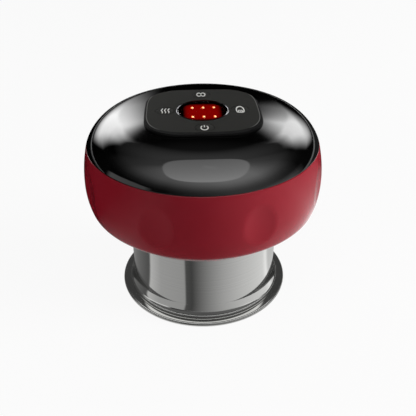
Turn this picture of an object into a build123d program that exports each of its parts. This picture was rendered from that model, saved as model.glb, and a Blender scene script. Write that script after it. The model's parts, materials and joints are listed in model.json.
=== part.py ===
from build123d import *

import os
from math import cos, radians, sin, sqrt

os.makedirs("parts", exist_ok=True)

# The massager stands on its cup: the origin is the centre of the cup's rim, +Z is up,
# the front with the power key faces -Y and the charging inlet is at the back.

# Driving dimensions: the height over all, and the widest radius that the palm closes round
overall_height = 74.6
body_radius = 45.0

# The outline's points, as shares of the widest radius and of the body's own height
body_share = 0.88
shoulder_share = 0.6733
seam_share = 0.9571
belly_share = 0.972
cone_share = 0.9422
base_seam_share = 0.9
base_edge_share = 0.8533
shoulder_drop_share = 0.0333
seam_level_share = 0.7197
widest_level_share = 0.3586
belly_level_share = 0.1414
cone_level_share = 0.0884
base_seam_level_share = 0.0455
panel_stand = 0.1

body_height = body_radius * body_share
base_height = overall_height - body_height
dome_height = overall_height - panel_stand
shoulder_radius = body_radius * shoulder_share
shoulder_drop = body_height * shoulder_drop_share
seam_radius = body_radius * seam_share
seam_height = base_height + body_height * seam_level_share
widest_height = base_height + body_height * widest_level_share
belly_radius = body_radius * belly_share
belly_height = base_height + body_height * belly_level_share
cone_radius = body_radius * cone_share
cone_height = base_height + body_height * cone_level_share
base_seam_radius = body_radius * base_seam_share
base_seam_height = base_height + body_height * base_seam_level_share
base_edge_radius = body_radius * base_edge_share

# Walls, and the clearances that all pieces share
shell_wall = 2.2
dome_wall = 2.0
fit_gap = 0.15
running_gap = 0.05
seal_gap = 0.1
laying_gap = 0.3
seam_round = 0.3
overrun = 2.0
turn = 360

# Stack of the base, from its underside upwards
base_floor = 2.4
socket_flange = 1.2
roof_thickness = 1.4
chassis_gap = 0.2
chassis_thickness = 1.6
floor_top = base_height + base_floor
seat_height = floor_top + socket_flange
roof_top = seat_height + roof_thickness
chassis_low = roof_top + chassis_gap
chassis_top = chassis_low + chassis_thickness

# Stack of the controls, from the panel's face downwards
panel_thickness = 1.4
recess_floor = 1.4
key_gap = 0.1
key_flange = 0.6
key_travel = 0.4
switch_gap = 0.3
switch_height = 2.4
board_thickness = 1.6
plug_height = 1.8
panel_low = overall_height - panel_thickness
recess_low = panel_low - recess_floor
flange_high = recess_low - key_gap
flange_low = flange_high - key_flange
switch_top = flange_low - key_travel - switch_gap
board_top = switch_top - switch_height
board_low = board_top - board_thickness
plug_low = board_low - plug_height

# Radii of the base, from the cup outwards to the shell's bottom lip
cup_inset = 9.2
cup_wall = 1.8
socket_wall = 0.9
bottom_lip = 3.2
cup_radius = base_edge_radius - cup_inset
cup_bore = cup_radius - cup_wall
socket_radius = cup_radius + fit_gap + socket_wall
lip_radius = base_seam_radius - bottom_lip
spigot_radius = lip_radius - fit_gap

# Four long screws clamp base, chassis and dome. They stand midway between socket and lip.
post_circle = (socket_radius + spigot_radius) / 2
post_radius = 2.8
post_angles = (60, 120, 240, 300)
post_drop = 0.5
post_top = seam_height - post_drop
screw_radius = 1.2
screw_clearance = 0.1
screw_head_radius = 2.2
screw_head_height = 1.5
screw_bore = screw_radius + screw_clearance
screw_head_bore = screw_head_radius + screw_clearance
head_recess = 0.4
head_top = base_height + head_recess + screw_head_height
thread_depth = 5.0
screw_tip = post_top + thread_depth


def around(radius, angles):
    """Places on a circle of the given radius, one at each angle."""
    return [(radius * cos(radians(angle)), radius * sin(radians(angle))) for angle in angles]


def half_chord(radius, drop):
    """Half the width of a circle of the given radius, at a drop below its centre."""
    return sqrt(radius**2 - drop**2)


def beside(curve, share, depth):
    """The point that lies a wall's depth to the right of a curve, looking along it."""
    along = curve % share
    return curve @ share + Vector(along.Y, -along.X) * depth


post_places = around(post_circle, post_angles)

# The body's outline in section, radius across and height up: each arc runs on from its
# neighbour without a kink, down to the straight cone that the bottom seam cuts.
crown = TangentArc((0, dome_height), (shoulder_radius, dome_height - shoulder_drop), tangent=(1, 0))
shoulder = TangentArc(crown @ 1, (seam_radius, seam_height), tangent=crown % 1)
flank = TangentArc((body_radius, widest_height), (seam_radius, seam_height), tangent=(0, 1))
waist = TangentArc((body_radius, widest_height), (belly_radius, belly_height), tangent=(0, -1))
corner = TangentArc(waist @ 1, (cone_radius, cone_height), tangent=waist % 1)

# Grip shell: a thin lacquered band with a finger dimple at every eighth of a turn.
# Each dimple is the hollow that a large barrel leaves where it just dips into the wall.
dimple_count = 8
dimple_first_angle = 22.5
dimple_depth = 1.0
dimple_width = 12.5
dimple_round = 5.0
dimple_below_seam = 2.45
dimple_above_belly = 3.95
inlet_width = 9.6
inlet_opening = 3.9
inlet_rise = 0.8

dimple_top = seam_height - dimple_below_seam
dimple_foot = belly_height + dimple_above_belly
dimple_length = dimple_top - dimple_foot
dimple_height = (dimple_top + dimple_foot) / 2
inlet_height = widest_height + inlet_rise

barrel_radius = 1 / (dimple_depth * 8 / dimple_width**2 - 1 / body_radius)
barrel_bow = 1 / (dimple_depth * 8 / dimple_length**2 - 1 / flank.radius)
barrel_distance = body_radius - dimple_depth + barrel_radius
barrel_half = dimple_length * 3 / 4
barrel_end = barrel_radius - barrel_half**2 / (barrel_bow * 2)

with BuildPart() as grip_shell:
    with BuildSketch(Plane.XZ):
        with BuildLine():
            add([flank, waist, corner])
            cone = Line(corner @ 1, (base_seam_radius, base_seam_height))
            bottom = Line(cone @ 1, (lip_radius, base_seam_height))
            inner_cone = Line(bottom @ 1, beside(cone, 0, shell_wall))
            inner_corner = Line(inner_cone @ 1, beside(waist, 1, shell_wall))
            inner_waist = TangentArc(
                beside(waist, 0, shell_wall), inner_corner @ 1, tangent=waist % 0
            )
            inner_flank = TangentArc(
                inner_waist @ 0, (seam_radius - shell_wall, seam_height), tangent=flank % 0
            )
            Line(inner_flank @ 1, flank @ 1)
        make_face()
    revolve(axis=Axis.Z)
    for dimple in range(dimple_count):
        angle = radians(dimple_first_angle + turn / dimple_count * dimple)
        outward = Vector(cos(angle), sin(angle))
        barrel_foot = outward * barrel_distance + Vector(0, 0, dimple_height)
        with BuildSketch(Plane(barrel_foot, x_dir=-outward, z_dir=(-sin(angle), cos(angle), 0))):
            with BuildLine():
                ThreePointArc(
                    (barrel_end, -barrel_half), (barrel_radius, 0), (barrel_end, barrel_half)
                )
                Polyline(
                    (barrel_end, barrel_half), (0, barrel_half), (0, -barrel_half),
                    (barrel_end, -barrel_half),
                )
            make_face()
        revolve(axis=Axis(barrel_foot, (0, 0, 1)), mode=Mode.SUBTRACT)
        fillet(grip_shell.edges(Select.LAST), radius=dimple_round)
    with BuildSketch(Plane.XZ.offset(-body_radius - overrun)):
        with Locations((0, inlet_height)):
            SlotOverall(inlet_width, inlet_opening)
    extrude(amount=shell_wall * 3 + overrun, mode=Mode.SUBTRACT)
    circles = grip_shell.edges().filter_by(GeomType.CIRCLE)
    outer_circles = circles.filter_by(lambda edge: edge.radius > base_seam_radius - seam_round)
    fillet([outer_circles.sort_by(Axis.Z)[0], outer_circles.sort_by(Axis.Z)[-1]], radius=seam_round)
grip_shell.part.label = "grip_shell"
export_step(grip_shell.part, "parts/grip_shell.step")

# Base cover: the floor of the body, which closes the shell along the fine bottom seam.
spigot_wall = 1.4
spigot_rise = 2.0
vent_count = 3
vent_length = 5.0
vent_width = 1.0
vent_angle = 16

with BuildPart() as base_cover:
    with BuildSketch(Plane.XZ):
        with BuildLine():
            Polyline(
                (socket_radius + screw_clearance, base_height),
                (base_edge_radius, base_height),
                (base_seam_radius, base_seam_height),
                (spigot_radius, base_seam_height),
                (spigot_radius, base_seam_height + spigot_rise),
                (spigot_radius - spigot_wall, base_seam_height + spigot_rise),
                (spigot_radius - spigot_wall, floor_top),
                (socket_radius + screw_clearance, floor_top),
                close=True,
            )
        make_face()
    revolve(axis=Axis.Z)
    with BuildSketch(Plane.XY.offset(base_height)):
        with Locations(post_places):
            Circle(post_radius)
    extrude(amount=chassis_low - base_height)
    with BuildSketch(Plane.XY.offset(base_height)):
        with Locations(post_places):
            Circle(screw_bore)
    extrude(amount=chassis_low - base_height, mode=Mode.SUBTRACT)
    with BuildSketch(Plane.XY.offset(base_height)):
        with Locations(post_places):
            Circle(screw_head_bore)
    extrude(amount=head_top - base_height, mode=Mode.SUBTRACT)
    with BuildSketch(Plane.XY.offset(base_height)):
        with PolarLocations(
            post_circle, vent_count, start_angle=90 - vent_angle, angular_range=vent_angle * 2,
            endpoint=True,
        ):
            SlotOverall(vent_length, vent_width, rotation=90)
    extrude(amount=base_floor, mode=Mode.SUBTRACT)
    rim_edges = base_cover.edges().filter_by(GeomType.CIRCLE)
    fillet(
        rim_edges.filter_by(lambda edge: edge.radius > base_edge_radius - seam_round),
        radius=seam_round,
    )
base_cover.part.label = "base_cover"
export_step(base_cover.part, "parts/base_cover.step")

# Suction cup: straight polished wall, concave foot, small step and a wide flanged rim.
rim_width = 4.8
rim_thickness = 1.8
rim_round = 0.7
step_width = 1.7
step_height = 2.9
foot_flare = 1.15
foot_height = 6.9
mouth_flare = 1.5
mouth_height = 5.0
cup_edge = 0.4

rim_radius = cup_radius + rim_width
step_radius = cup_radius + step_width
foot_radius = cup_radius + foot_flare
mouth_radius = cup_bore + mouth_flare

with BuildPart() as suction_cup:
    with BuildSketch(Plane.XZ):
        with BuildLine():
            Polyline(
                (mouth_radius, 0),
                (rim_radius, 0),
                (rim_radius, rim_thickness),
                (step_radius, rim_thickness),
                (step_radius, step_height),
                (foot_radius, step_height),
            )
            TangentArc((cup_radius, foot_height), (foot_radius, step_height), tangent=(0, -1))
            Polyline(
                (cup_radius, foot_height),
                (cup_radius, seat_height),
                (cup_bore, seat_height),
                (cup_bore, mouth_height),
            )
            TangentArc((cup_bore, mouth_height), (mouth_radius, 0), tangent=(0, -1))
        make_face()
    revolve(axis=Axis.Z)
    cup_edges = suction_cup.edges().filter_by(GeomType.CIRCLE)
    fillet(
        cup_edges.filter_by(lambda edge: edge.radius > rim_radius - rim_round),
        radius=rim_round,
    )
    chamfer(
        cup_edges.filter_by_position(Axis.Z, seat_height - cup_edge, seat_height + cup_edge),
        length=cup_edge,
    )
suction_cup.part.label = "suction_cup"
export_step(suction_cup.part, "parts/suction_cup.step")

# Cup socket: the cup's top slides into its ring groove, over the sealed spigot.
collar_drop = 0.4
flange_lip = 0.75
spigot_length = 7.0
spigot_thickness = 2.4
seal_radius = 0.9
seal_drop = 4.2
chamber_radius = 7.2
chamber_wall = 1.6
light_width = 7.65
plate_wall = 1.6
plate_drop = 3.9
tee_radius = 2.6
socket_post_gap = 0.3

spigot_outer = cup_bore - fit_gap
spigot_inner = spigot_outer - spigot_thickness
spigot_low = seat_height - spigot_length
plate_radius = spigot_inner - light_width
seal_height = seat_height - seal_drop
seal_centre = cup_bore - seal_gap - seal_radius
groove_bottom = seal_centre - seal_radius
groove_half = seal_radius + seal_gap
plate_seat = seat_height - plate_drop

with BuildPart() as cup_socket:
    with BuildSketch(Plane.XZ):
        Polygon(
            (tee_radius + screw_clearance, roof_top),
            (tee_radius + screw_clearance, seat_height),
            (spigot_inner, seat_height),
            (spigot_inner, spigot_low),
            (spigot_outer, spigot_low),
            (spigot_outer, seal_height - groove_half),
            (groove_bottom, seal_height - groove_half),
            (groove_bottom, seal_height + groove_half),
            (spigot_outer, seal_height + groove_half),
            (spigot_outer, seat_height),
            (cup_radius + fit_gap, seat_height),
            (cup_radius + fit_gap, base_height - collar_drop),
            (socket_radius, base_height - collar_drop),
            (socket_radius, floor_top),
            (socket_radius + flange_lip, floor_top),
            (socket_radius + flange_lip, seat_height),
            (socket_radius, roof_top),
            align=None,
        )
    revolve(axis=Axis.Z)
    with BuildSketch(Plane.XY.offset(plate_seat)):
        Circle(plate_radius)
        Circle(plate_radius - plate_wall, mode=Mode.SUBTRACT)
        Circle(chamber_radius + chamber_wall)
        Circle(chamber_radius, mode=Mode.SUBTRACT)
    extrude(amount=plate_drop)
    with BuildSketch(Plane.XY.offset(seat_height)):
        with Locations(post_places):
            Circle(post_radius + socket_post_gap)
    extrude(amount=roof_thickness, mode=Mode.SUBTRACT)
    with BuildSketch(Plane.XY.offset(floor_top)):
        with Locations(post_places):
            Circle(post_radius + socket_post_gap)
    extrude(amount=socket_flange, mode=Mode.SUBTRACT)
cup_socket.part.label = "cup_socket"
export_step(cup_socket.part, "parts/cup_socket.step")

# Cup seal: an O-ring in the spigot's groove.
with BuildPart() as cup_seal_ring:
    with BuildSketch(Plane.XZ):
        with Locations((seal_centre, seal_height)):
            Circle(seal_radius)
    revolve(axis=Axis.Z)
cup_seal_ring.part.label = "cup_seal_ring"
export_step(cup_seal_ring.part, "parts/cup_seal_ring.step")

# Heat plate: the warm metal ring in the cup's ceiling.
heat_thickness = 1.4
heat_dish = 0.5
filter_radius = 7.0
heat_low = plate_seat - heat_thickness

with BuildPart() as heat_plate:
    with BuildSketch(Plane.XY.offset(heat_low)):
        Circle(plate_radius)
        Circle(filter_radius + fit_gap, mode=Mode.SUBTRACT)
    extrude(amount=heat_thickness)
    fillet(heat_plate.edges().group_by(Axis.Z)[0], radius=heat_dish)
heat_plate.part.label = "heat_plate"
export_step(heat_plate.part, "parts/heat_plate.step")

# Light board and its lamps, on the socket's roof round the heat plate.
light_gap = 0.2
lamp_board = 1.0
lamp_count = 8
lamp_length = 2.8
lamp_width = 2.0
lamp_height = 0.8

light_inner = plate_radius + light_gap
light_outer = spigot_inner - light_gap
lamp_circle = (light_inner + light_outer) / 2
lamp_board_low = seat_height - lamp_board

with BuildPart() as light_board:
    with BuildSketch(Plane.XY.offset(lamp_board_low)):
        Circle(light_outer)
        Circle(light_inner, mode=Mode.SUBTRACT)
    extrude(amount=lamp_board)
light_board.part.label = "light_board"
export_step(light_board.part, "parts/light_board.step")

with BuildPart() as therapy_leds:
    with BuildSketch(Plane.XY.offset(lamp_board_low - lamp_height)):
        with PolarLocations(lamp_circle, lamp_count):
            Rectangle(lamp_width, lamp_length)
    extrude(amount=lamp_height)
therapy_leds.part.label = "therapy_leds"
export_step(therapy_leds.part, "parts/therapy_leds.step")

# Light ring: a translucent trough that spreads the lamps' red light into the cup.
ring_drop = 0.3
ring_wall = 1.4
ring_round = 0.8
ring_low = heat_low - ring_drop
ring_high = lamp_board_low - lamp_height - ring_drop

with BuildPart() as light_ring:
    with BuildSketch(Plane.XY.offset(ring_low)):
        Circle(light_outer)
        Circle(light_inner, mode=Mode.SUBTRACT)
    extrude(amount=ring_high - ring_low)
    with BuildSketch(Plane.XY.offset(ring_low + ring_wall)):
        Circle(light_outer - ring_wall)
        Circle(light_inner + ring_wall, mode=Mode.SUBTRACT)
    extrude(amount=ring_high - ring_low, mode=Mode.SUBTRACT)
    fillet(light_ring.edges().group_by(Axis.Z)[0], radius=ring_round)
light_ring.part.label = "light_ring"
export_step(light_ring.part, "parts/light_ring.step")

# Suction tee: a flanged stem through the roof, with a barb to the pump and one to the valve.
tee_bore = 1.0
tee_flange_radius = 5.2
tee_flange = 1.0
tee_crown = 2.2
barb_radius = 1.25
barb_bore = 0.7
barb_length = 5.5
hose_radius = 2.0
hose_bore = barb_radius + running_gap

tee_height = chassis_top + laying_gap + hose_radius
barb_reach = tee_radius + barb_length

with BuildPart() as suction_tee:
    with BuildSketch(Plane.XY.offset(seat_height - tee_flange)):
        Circle(tee_flange_radius)
    extrude(amount=tee_flange)
    with BuildSketch(Plane.XY.offset(seat_height)):
        Circle(tee_radius)
    extrude(amount=tee_height + tee_crown - seat_height)
    with BuildSketch(Plane.YZ.offset(-barb_reach)):
        with Locations((0, tee_height)):
            Circle(barb_radius)
    extrude(amount=barb_reach * 2)
    with BuildSketch(Plane.XY.offset(seat_height - tee_flange)):
        Circle(tee_bore)
    extrude(amount=tee_flange + tee_height - seat_height, mode=Mode.SUBTRACT)
    with BuildSketch(Plane.YZ.offset(-barb_reach)):
        with Locations((0, tee_height)):
            Circle(barb_bore)
    extrude(amount=barb_reach * 2, mode=Mode.SUBTRACT)
    fillet(suction_tee.faces().sort_by(Axis.Z)[-1].edges(), radius=barb_bore)
suction_tee.part.label = "suction_tee"
export_step(suction_tee.part, "parts/suction_tee.step")

# Filter cap: pulls straight down out of its chamber and holds the filter pad.
cap_drop = 1.2
cap_wall = 1.1
cap_height = 4.4
cap_face = 1.2
cap_slots = 6
cap_slot_length = 2.8
cap_slot_width = 0.9
cap_slot_circle = 3.4
cap_grip = 0.6
pad_gap = 0.1
pad_height = 2.4
cap_low = heat_low - cap_drop

with BuildPart() as filter_cap:
    with BuildSketch(Plane.XY.offset(cap_low)):
        Circle(filter_radius)
    extrude(amount=cap_height)
    with BuildSketch(Plane.XY.offset(cap_low + cap_face)):
        Circle(filter_radius - cap_wall)
    extrude(amount=cap_height - cap_face, mode=Mode.SUBTRACT)
    with BuildSketch(Plane.XY.offset(cap_low)):
        with PolarLocations(cap_slot_circle, cap_slots):
            SlotOverall(cap_slot_length, cap_slot_width)
    extrude(amount=cap_face, mode=Mode.SUBTRACT)
    cap_edges = filter_cap.edges().filter_by(GeomType.CIRCLE)
    fillet(
        cap_edges.filter_by(lambda edge: edge.radius > filter_radius - cap_grip).sort_by(Axis.Z)[0],
        radius=cap_grip,
    )
filter_cap.part.label = "filter_cap"
export_step(filter_cap.part, "parts/filter_cap.step")

with BuildPart() as filter_pad:
    with BuildSketch(Plane.XY.offset(cap_low + cap_face)):
        Circle(filter_radius - cap_wall - pad_gap)
    extrude(amount=pad_height)
filter_pad.part.label = "filter_pad"
export_step(filter_pad.part, "parts/filter_pad.step")

# The pump lies along X in front, the cell behind it, with the hoses in the valley between.
# Both lie on the chassis, either side of the tee, and the pump fills the height up to the
# control board's plugs. The release valve beyond their right ends sets their lengths.
pump_headroom = 0.5
cushion_thickness = 1.4
pump_tee_gap = 0.55
cell_tee_gap = 1.0
cell_share = 9 / 11
terminal_height = 1.0
valve_margin = 6.6
valve_width = 10.4
motor_gap = 4.0

inner_radius = body_radius - shell_wall
tee_top = tee_height + tee_crown

pump_radius = (plug_low - pump_headroom - chassis_top - laying_gap) / 2
motor_radius = pump_radius - cushion_thickness
pump_height = chassis_top + laying_gap + pump_radius
pump_place = -tee_radius - pump_tee_gap - half_chord(pump_radius, pump_height - tee_top)
cell_radius = pump_radius * cell_share
cell_height = chassis_top + laying_gap + cell_radius
cell_place = tee_radius + cell_tee_gap + half_chord(cell_radius, cell_height - tee_top)
valve_face = inner_radius - valve_margin - valve_width
cell_half = valve_face - laying_gap - terminal_height
cell_length = cell_half * 2

# Stack of the pump along its shaft. Its hose turns round with some room to the shell, and
# from there the stack runs through nozzle, cover, valves and crank chamber to the motor.
hose_margin = 4.7
hose_lead = 4.5
chamber_length = 11.0
chamber_front = 1.6
diaphragm_thickness = 1.2
plate_thickness = 3.2
cover_length = 5.6
nozzle_length = 5.0
hose_turn = half_chord(inner_radius - hose_margin, pump_place - hose_radius) - hose_radius
nozzle_end = hose_lead - hose_turn
cover_end = nozzle_end + nozzle_length
valve_plate_end = cover_end + cover_length
diaphragm_end = valve_plate_end + plate_thickness
chamber_end = diaphragm_end + diaphragm_thickness
motor_face = chamber_end + chamber_length
motor_length = valve_face - motor_gap - motor_face

# Pump motor: a drawn can with a front boss and a rear bearing boss.
motor_round = 1.2
motor_boss_radius = 2.9
motor_boss = 1.2
shaft_radius = 1.0
shaft_seat = 8.0
shaft_hole = shaft_radius + running_gap

with BuildPart() as pump_motor:
    with BuildSketch(Plane.YZ.offset(motor_face)):
        with Locations((pump_place, pump_height)):
            Circle(motor_radius)
    extrude(amount=motor_length)
    fillet(pump_motor.edges(), radius=motor_round)
    with BuildSketch(Plane.YZ.offset(motor_face - motor_boss)):
        with Locations((pump_place, pump_height)):
            Circle(motor_boss_radius)
    extrude(amount=motor_length + motor_boss * 2)
    with BuildSketch(Plane.YZ.offset(motor_face - motor_boss)):
        with Locations((pump_place, pump_height)):
            Circle(shaft_hole)
    extrude(amount=motor_boss + shaft_seat, mode=Mode.SUBTRACT)
pump_motor.part.label = "pump_motor"
export_step(pump_motor.part, "parts/pump_motor.step")

# Two rubber bands cushion the motor in its saddles.
cushion_share = 0.12
cushion_inset_share = 0.2
cushion_width = motor_length * cushion_share
cushion_inset = motor_length * cushion_inset_share
cushion_places = (
    motor_face + cushion_inset,
    motor_face + motor_length - cushion_inset - cushion_width,
)

with BuildPart() as motor_cushions:
    for place in cushion_places:
        with BuildSketch(Plane.YZ.offset(place)):
            with Locations((pump_place, pump_height)):
                Circle(pump_radius)
                Circle(motor_radius, mode=Mode.SUBTRACT)
        extrude(amount=cushion_width)
motor_cushions.part.label = "motor_cushions"
export_step(motor_cushions.part, "parts/motor_cushions.step")

# Pump housing: the open-sided chamber in which the crank turns.
chamber_wall_thickness = 1.6
window_share = 0.55

with BuildPart() as pump_housing:
    with BuildSketch(Plane.YZ.offset(chamber_end)):
        with Locations((pump_place, pump_height)):
            Circle(pump_radius)
    extrude(amount=chamber_length)
    with BuildSketch(Plane.YZ.offset(chamber_end)):
        with Locations((pump_place, pump_height)):
            Circle(pump_radius - chamber_wall_thickness)
    extrude(amount=chamber_length - chamber_front, mode=Mode.SUBTRACT)
    with BuildSketch(Plane.YZ.offset(motor_face - chamber_front)):
        with Locations((pump_place, pump_height)):
            Circle(motor_boss_radius + running_gap)
    extrude(amount=chamber_front, mode=Mode.SUBTRACT)
    with BuildSketch(Plane.XY.offset(pump_height)):
        with Locations(((motor_face - chamber_front + chamber_end) / 2, pump_place)):
            SlotOverall((chamber_length - chamber_front) * window_share * 3 / 2, motor_boss_radius * 2)
    extrude(amount=pump_radius, mode=Mode.SUBTRACT)
pump_housing.part.label = "pump_housing"
export_step(pump_housing.part, "parts/pump_housing.step")

# Pump crank: the motor's shaft with its eccentric and drive pin.
eccentric_radius = 4.2
eccentric_length = 3.2
eccentric_gap = 0.4
pin_radius = 0.8
pin_throw = 1.5
pin_length = 3.6
shaft_end_gap = 0.3

eccentric_end = motor_face - chamber_front - eccentric_gap - eccentric_length
pin_end = eccentric_end - pin_length

with BuildPart() as pump_crank:
    with BuildSketch(Plane.YZ.offset(eccentric_end)):
        with Locations((pump_place, pump_height)):
            Circle(shaft_radius)
    extrude(amount=motor_face + shaft_seat - shaft_end_gap - motor_boss - eccentric_end)
    with BuildSketch(Plane.YZ.offset(eccentric_end)):
        with Locations((pump_place, pump_height)):
            Circle(eccentric_radius)
    extrude(amount=eccentric_length)
    with BuildSketch(Plane.YZ.offset(pin_end)):
        with Locations((pump_place, pump_height + pin_throw)):
            Circle(pin_radius)
    extrude(amount=pin_length)
pump_crank.part.label = "pump_crank"
export_step(pump_crank.part, "parts/pump_crank.step")

# Swing plate: a three-armed star whose hub the crank's pin drives.
arm_count = 3
arm_gap = 1.4
arm_width = 4.0
arm_thickness = 1.4
hub_wall = 1.0
hub_length = 3.2
hub_bore = pin_throw + pin_radius + laying_gap
arm_length = pump_radius - chamber_wall_thickness - arm_gap

with BuildPart() as swing_plate:
    with BuildSketch(Plane.YZ.offset(chamber_end)):
        with Locations((pump_place, pump_height)):
            Circle(hub_bore + hub_wall)
            with PolarLocations(arm_length / 2, arm_count):
                SlotOverall(arm_length, arm_width)
    extrude(amount=arm_thickness)
    with BuildSketch(Plane.YZ.offset(chamber_end)):
        with Locations((pump_place, pump_height)):
            Circle(hub_bore + hub_wall)
    extrude(amount=hub_length)
    with BuildSketch(Plane.YZ.offset(chamber_end)):
        with Locations((pump_place, pump_height)):
            Circle(hub_bore)
    extrude(amount=hub_length, mode=Mode.SUBTRACT)
swing_plate.part.label = "swing_plate"
export_step(swing_plate.part, "parts/swing_plate.step")

# Diaphragm and valve plate, clamped between the housing and the pump's cover.
for name, start, thickness in (
    ("pump_diaphragm", diaphragm_end, diaphragm_thickness),
    ("valve_plate", valve_plate_end, plate_thickness),
):
    with BuildPart() as disc:
        with BuildSketch(Plane.YZ.offset(start)):
            with Locations((pump_place, pump_height)):
                Circle(pump_radius)
        extrude(amount=thickness)
    disc.part.label = name
    export_step(disc.part, f"parts/{name}.step")

# Pump cover with the inlet nozzle on its axis.
cover_round = 1.6

with BuildPart() as pump_cover:
    with BuildSketch(Plane.YZ.offset(cover_end)):
        with Locations((pump_place, pump_height)):
            Circle(pump_radius)
    extrude(amount=cover_length)
    fillet(pump_cover.edges().sort_by(Axis.X)[0], radius=cover_round)
    with BuildSketch(Plane.YZ.offset(nozzle_end)):
        with Locations((pump_place, pump_height)):
            Circle(barb_radius)
    extrude(amount=nozzle_length)
    with BuildSketch(Plane.YZ.offset(nozzle_end)):
        with Locations((pump_place, pump_height)):
            Circle(barb_bore)
    extrude(amount=nozzle_length + cover_length / 2, mode=Mode.SUBTRACT)
pump_cover.part.label = "pump_cover"
export_step(pump_cover.part, "parts/pump_cover.step")

# Battery: a cylindrical cell with its crimped shoulder and terminal.
cell_round = 0.8
crimp_depth = 0.5
crimp_width = 1.0
crimp_place = 3.0
terminal_radius = 2.9

with BuildPart() as battery:
    with BuildSketch(Plane.YZ.offset(-cell_half)):
        with Locations((cell_place, cell_height)):
            Circle(cell_radius)
    extrude(amount=cell_length)
    fillet(battery.edges(), radius=cell_round)
    with BuildSketch(Plane.YZ.offset(cell_half - crimp_place)):
        with Locations((cell_place, cell_height)):
            Circle(cell_radius)
            Circle(cell_radius - crimp_depth, mode=Mode.SUBTRACT)
    extrude(amount=crimp_width, mode=Mode.SUBTRACT)
    with BuildSketch(Plane.YZ.offset(cell_half)):
        with Locations((cell_place, cell_height)):
            Circle(terminal_radius)
    extrude(amount=terminal_height)
battery.part.label = "battery"
export_step(battery.part, "parts/battery.step")

# Pump hose: from the tee along the valley, up and round into the pump's nozzle.
hose_seat = 0.5
tee_reach = tee_radius + hose_seat

with BuildPart() as pump_hose:
    with BuildLine() as hose_path:
        FilletPolyline(
            (-tee_reach, 0, tee_height),
            (-hose_turn, 0, tee_height),
            (-hose_turn, pump_place, pump_height),
            (cover_end - hose_seat, pump_place, pump_height),
            radius=hose_lead,
        )
    with BuildSketch(Plane.YZ.offset(-tee_reach)):
        with Locations((0, tee_height)):
            Circle(hose_radius)
            Circle(hose_bore, mode=Mode.SUBTRACT)
    sweep(path=hose_path.wires()[0])
pump_hose.part.label = "pump_hose"
export_step(pump_hose.part, "parts/pump_hose.step")

# Release valve: an electric valve that lets air back into the cup.
valve_depth = 12.0
valve_headroom = 9.3
valve_round = 0.8
plunger_radius = 1.6
plunger_bore_rise = 4.0
plunger_stand = 1.4
plunger_head = 2.4
plunger_head_height = 0.9

valve_centre = valve_face + valve_width / 2
valve_top = plug_low - valve_headroom
plunger_low = chassis_top + plunger_bore_rise
plunger_top = valve_top + plunger_stand

with BuildPart() as valve_body:
    with BuildSketch(Plane.XY.offset(chassis_top)):
        with Locations((valve_centre, 0)):
            RectangleRounded(valve_width, valve_depth, valve_round)
    extrude(amount=valve_top - chassis_top)
    with BuildSketch(Plane.YZ.offset(valve_face - nozzle_length)):
        with Locations((0, tee_height)):
            Circle(barb_radius)
    extrude(amount=nozzle_length)
    with BuildSketch(Plane.YZ.offset(valve_face - nozzle_length)):
        with Locations((0, tee_height)):
            Circle(barb_bore)
    extrude(amount=nozzle_length + valve_width / 2, mode=Mode.SUBTRACT)
    with BuildSketch(Plane.XY.offset(plunger_low)):
        with Locations((valve_centre, 0)):
            Circle(plunger_radius + running_gap)
    extrude(amount=valve_top - plunger_low, mode=Mode.SUBTRACT)
    with BuildSketch(Plane.XY.offset(tee_height)):
        with Locations((valve_centre, 0)):
            Circle(barb_bore)
    extrude(amount=plunger_low - tee_height, mode=Mode.SUBTRACT)
valve_body.part.label = "valve_body"
export_step(valve_body.part, "parts/valve_body.step")

with BuildPart() as valve_plunger:
    with BuildSketch(Plane.XY.offset(plunger_low)):
        with Locations((valve_centre, 0)):
            Circle(plunger_radius)
    extrude(amount=plunger_top - plunger_low)
    with BuildSketch(Plane.XY.offset(plunger_top)):
        with Locations((valve_centre, 0)):
            Circle(plunger_head)
    extrude(amount=plunger_head_height)
valve_plunger.part.label = "valve_plunger"
export_step(valve_plunger.part, "parts/valve_plunger.step")

with BuildPart() as valve_hose:
    with BuildSketch(Plane.YZ.offset(tee_reach)):
        with Locations((0, tee_height)):
            Circle(hose_radius)
            Circle(hose_bore, mode=Mode.SUBTRACT)
    extrude(amount=valve_face - hose_seat - tee_reach)
valve_hose.part.label = "valve_hose"
export_step(valve_hose.part, "parts/valve_hose.step")

# Charging inlet on its small board, behind the slot in the back of the shell.
port_width = 8.9
port_height = 3.2
port_depth = 7.3
port_wall = 0.3
port_recess = 0.7
tongue_width = 6.6
tongue_thickness = 0.7
charge_board_width = 16.0
charge_board_depth = 9.0
charge_board_thickness = 1.2
charge_board_margin = 3.4

port_mouth = body_radius - port_recess
charge_board_top = inlet_height - port_height / 2
charge_board_low = charge_board_top - charge_board_thickness
charge_board_edge = port_mouth - charge_board_margin

with BuildPart() as charging_port:
    with BuildSketch(Plane.XZ.offset(-port_mouth)):
        with Locations((0, inlet_height)):
            SlotOverall(port_width, port_height)
    extrude(amount=port_depth)
    with BuildSketch(Plane.XZ.offset(-port_mouth)):
        with Locations((0, inlet_height)):
            SlotOverall(port_width - port_wall * 2, port_height - port_wall * 2)
            Rectangle(tongue_width, tongue_thickness, mode=Mode.SUBTRACT)
    extrude(amount=port_depth - port_wall, mode=Mode.SUBTRACT)
charging_port.part.label = "charging_port"
export_step(charging_port.part, "parts/charging_port.step")

with BuildPart() as charging_board:
    with BuildSketch(Plane.XY.offset(charge_board_low)):
        with Locations((0, charge_board_edge - charge_board_depth / 2)):
            Rectangle(charge_board_width, charge_board_depth)
    extrude(amount=charge_board_thickness)
charging_board.part.label = "charging_board"
export_step(charging_board.part, "parts/charging_board.step")

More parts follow.
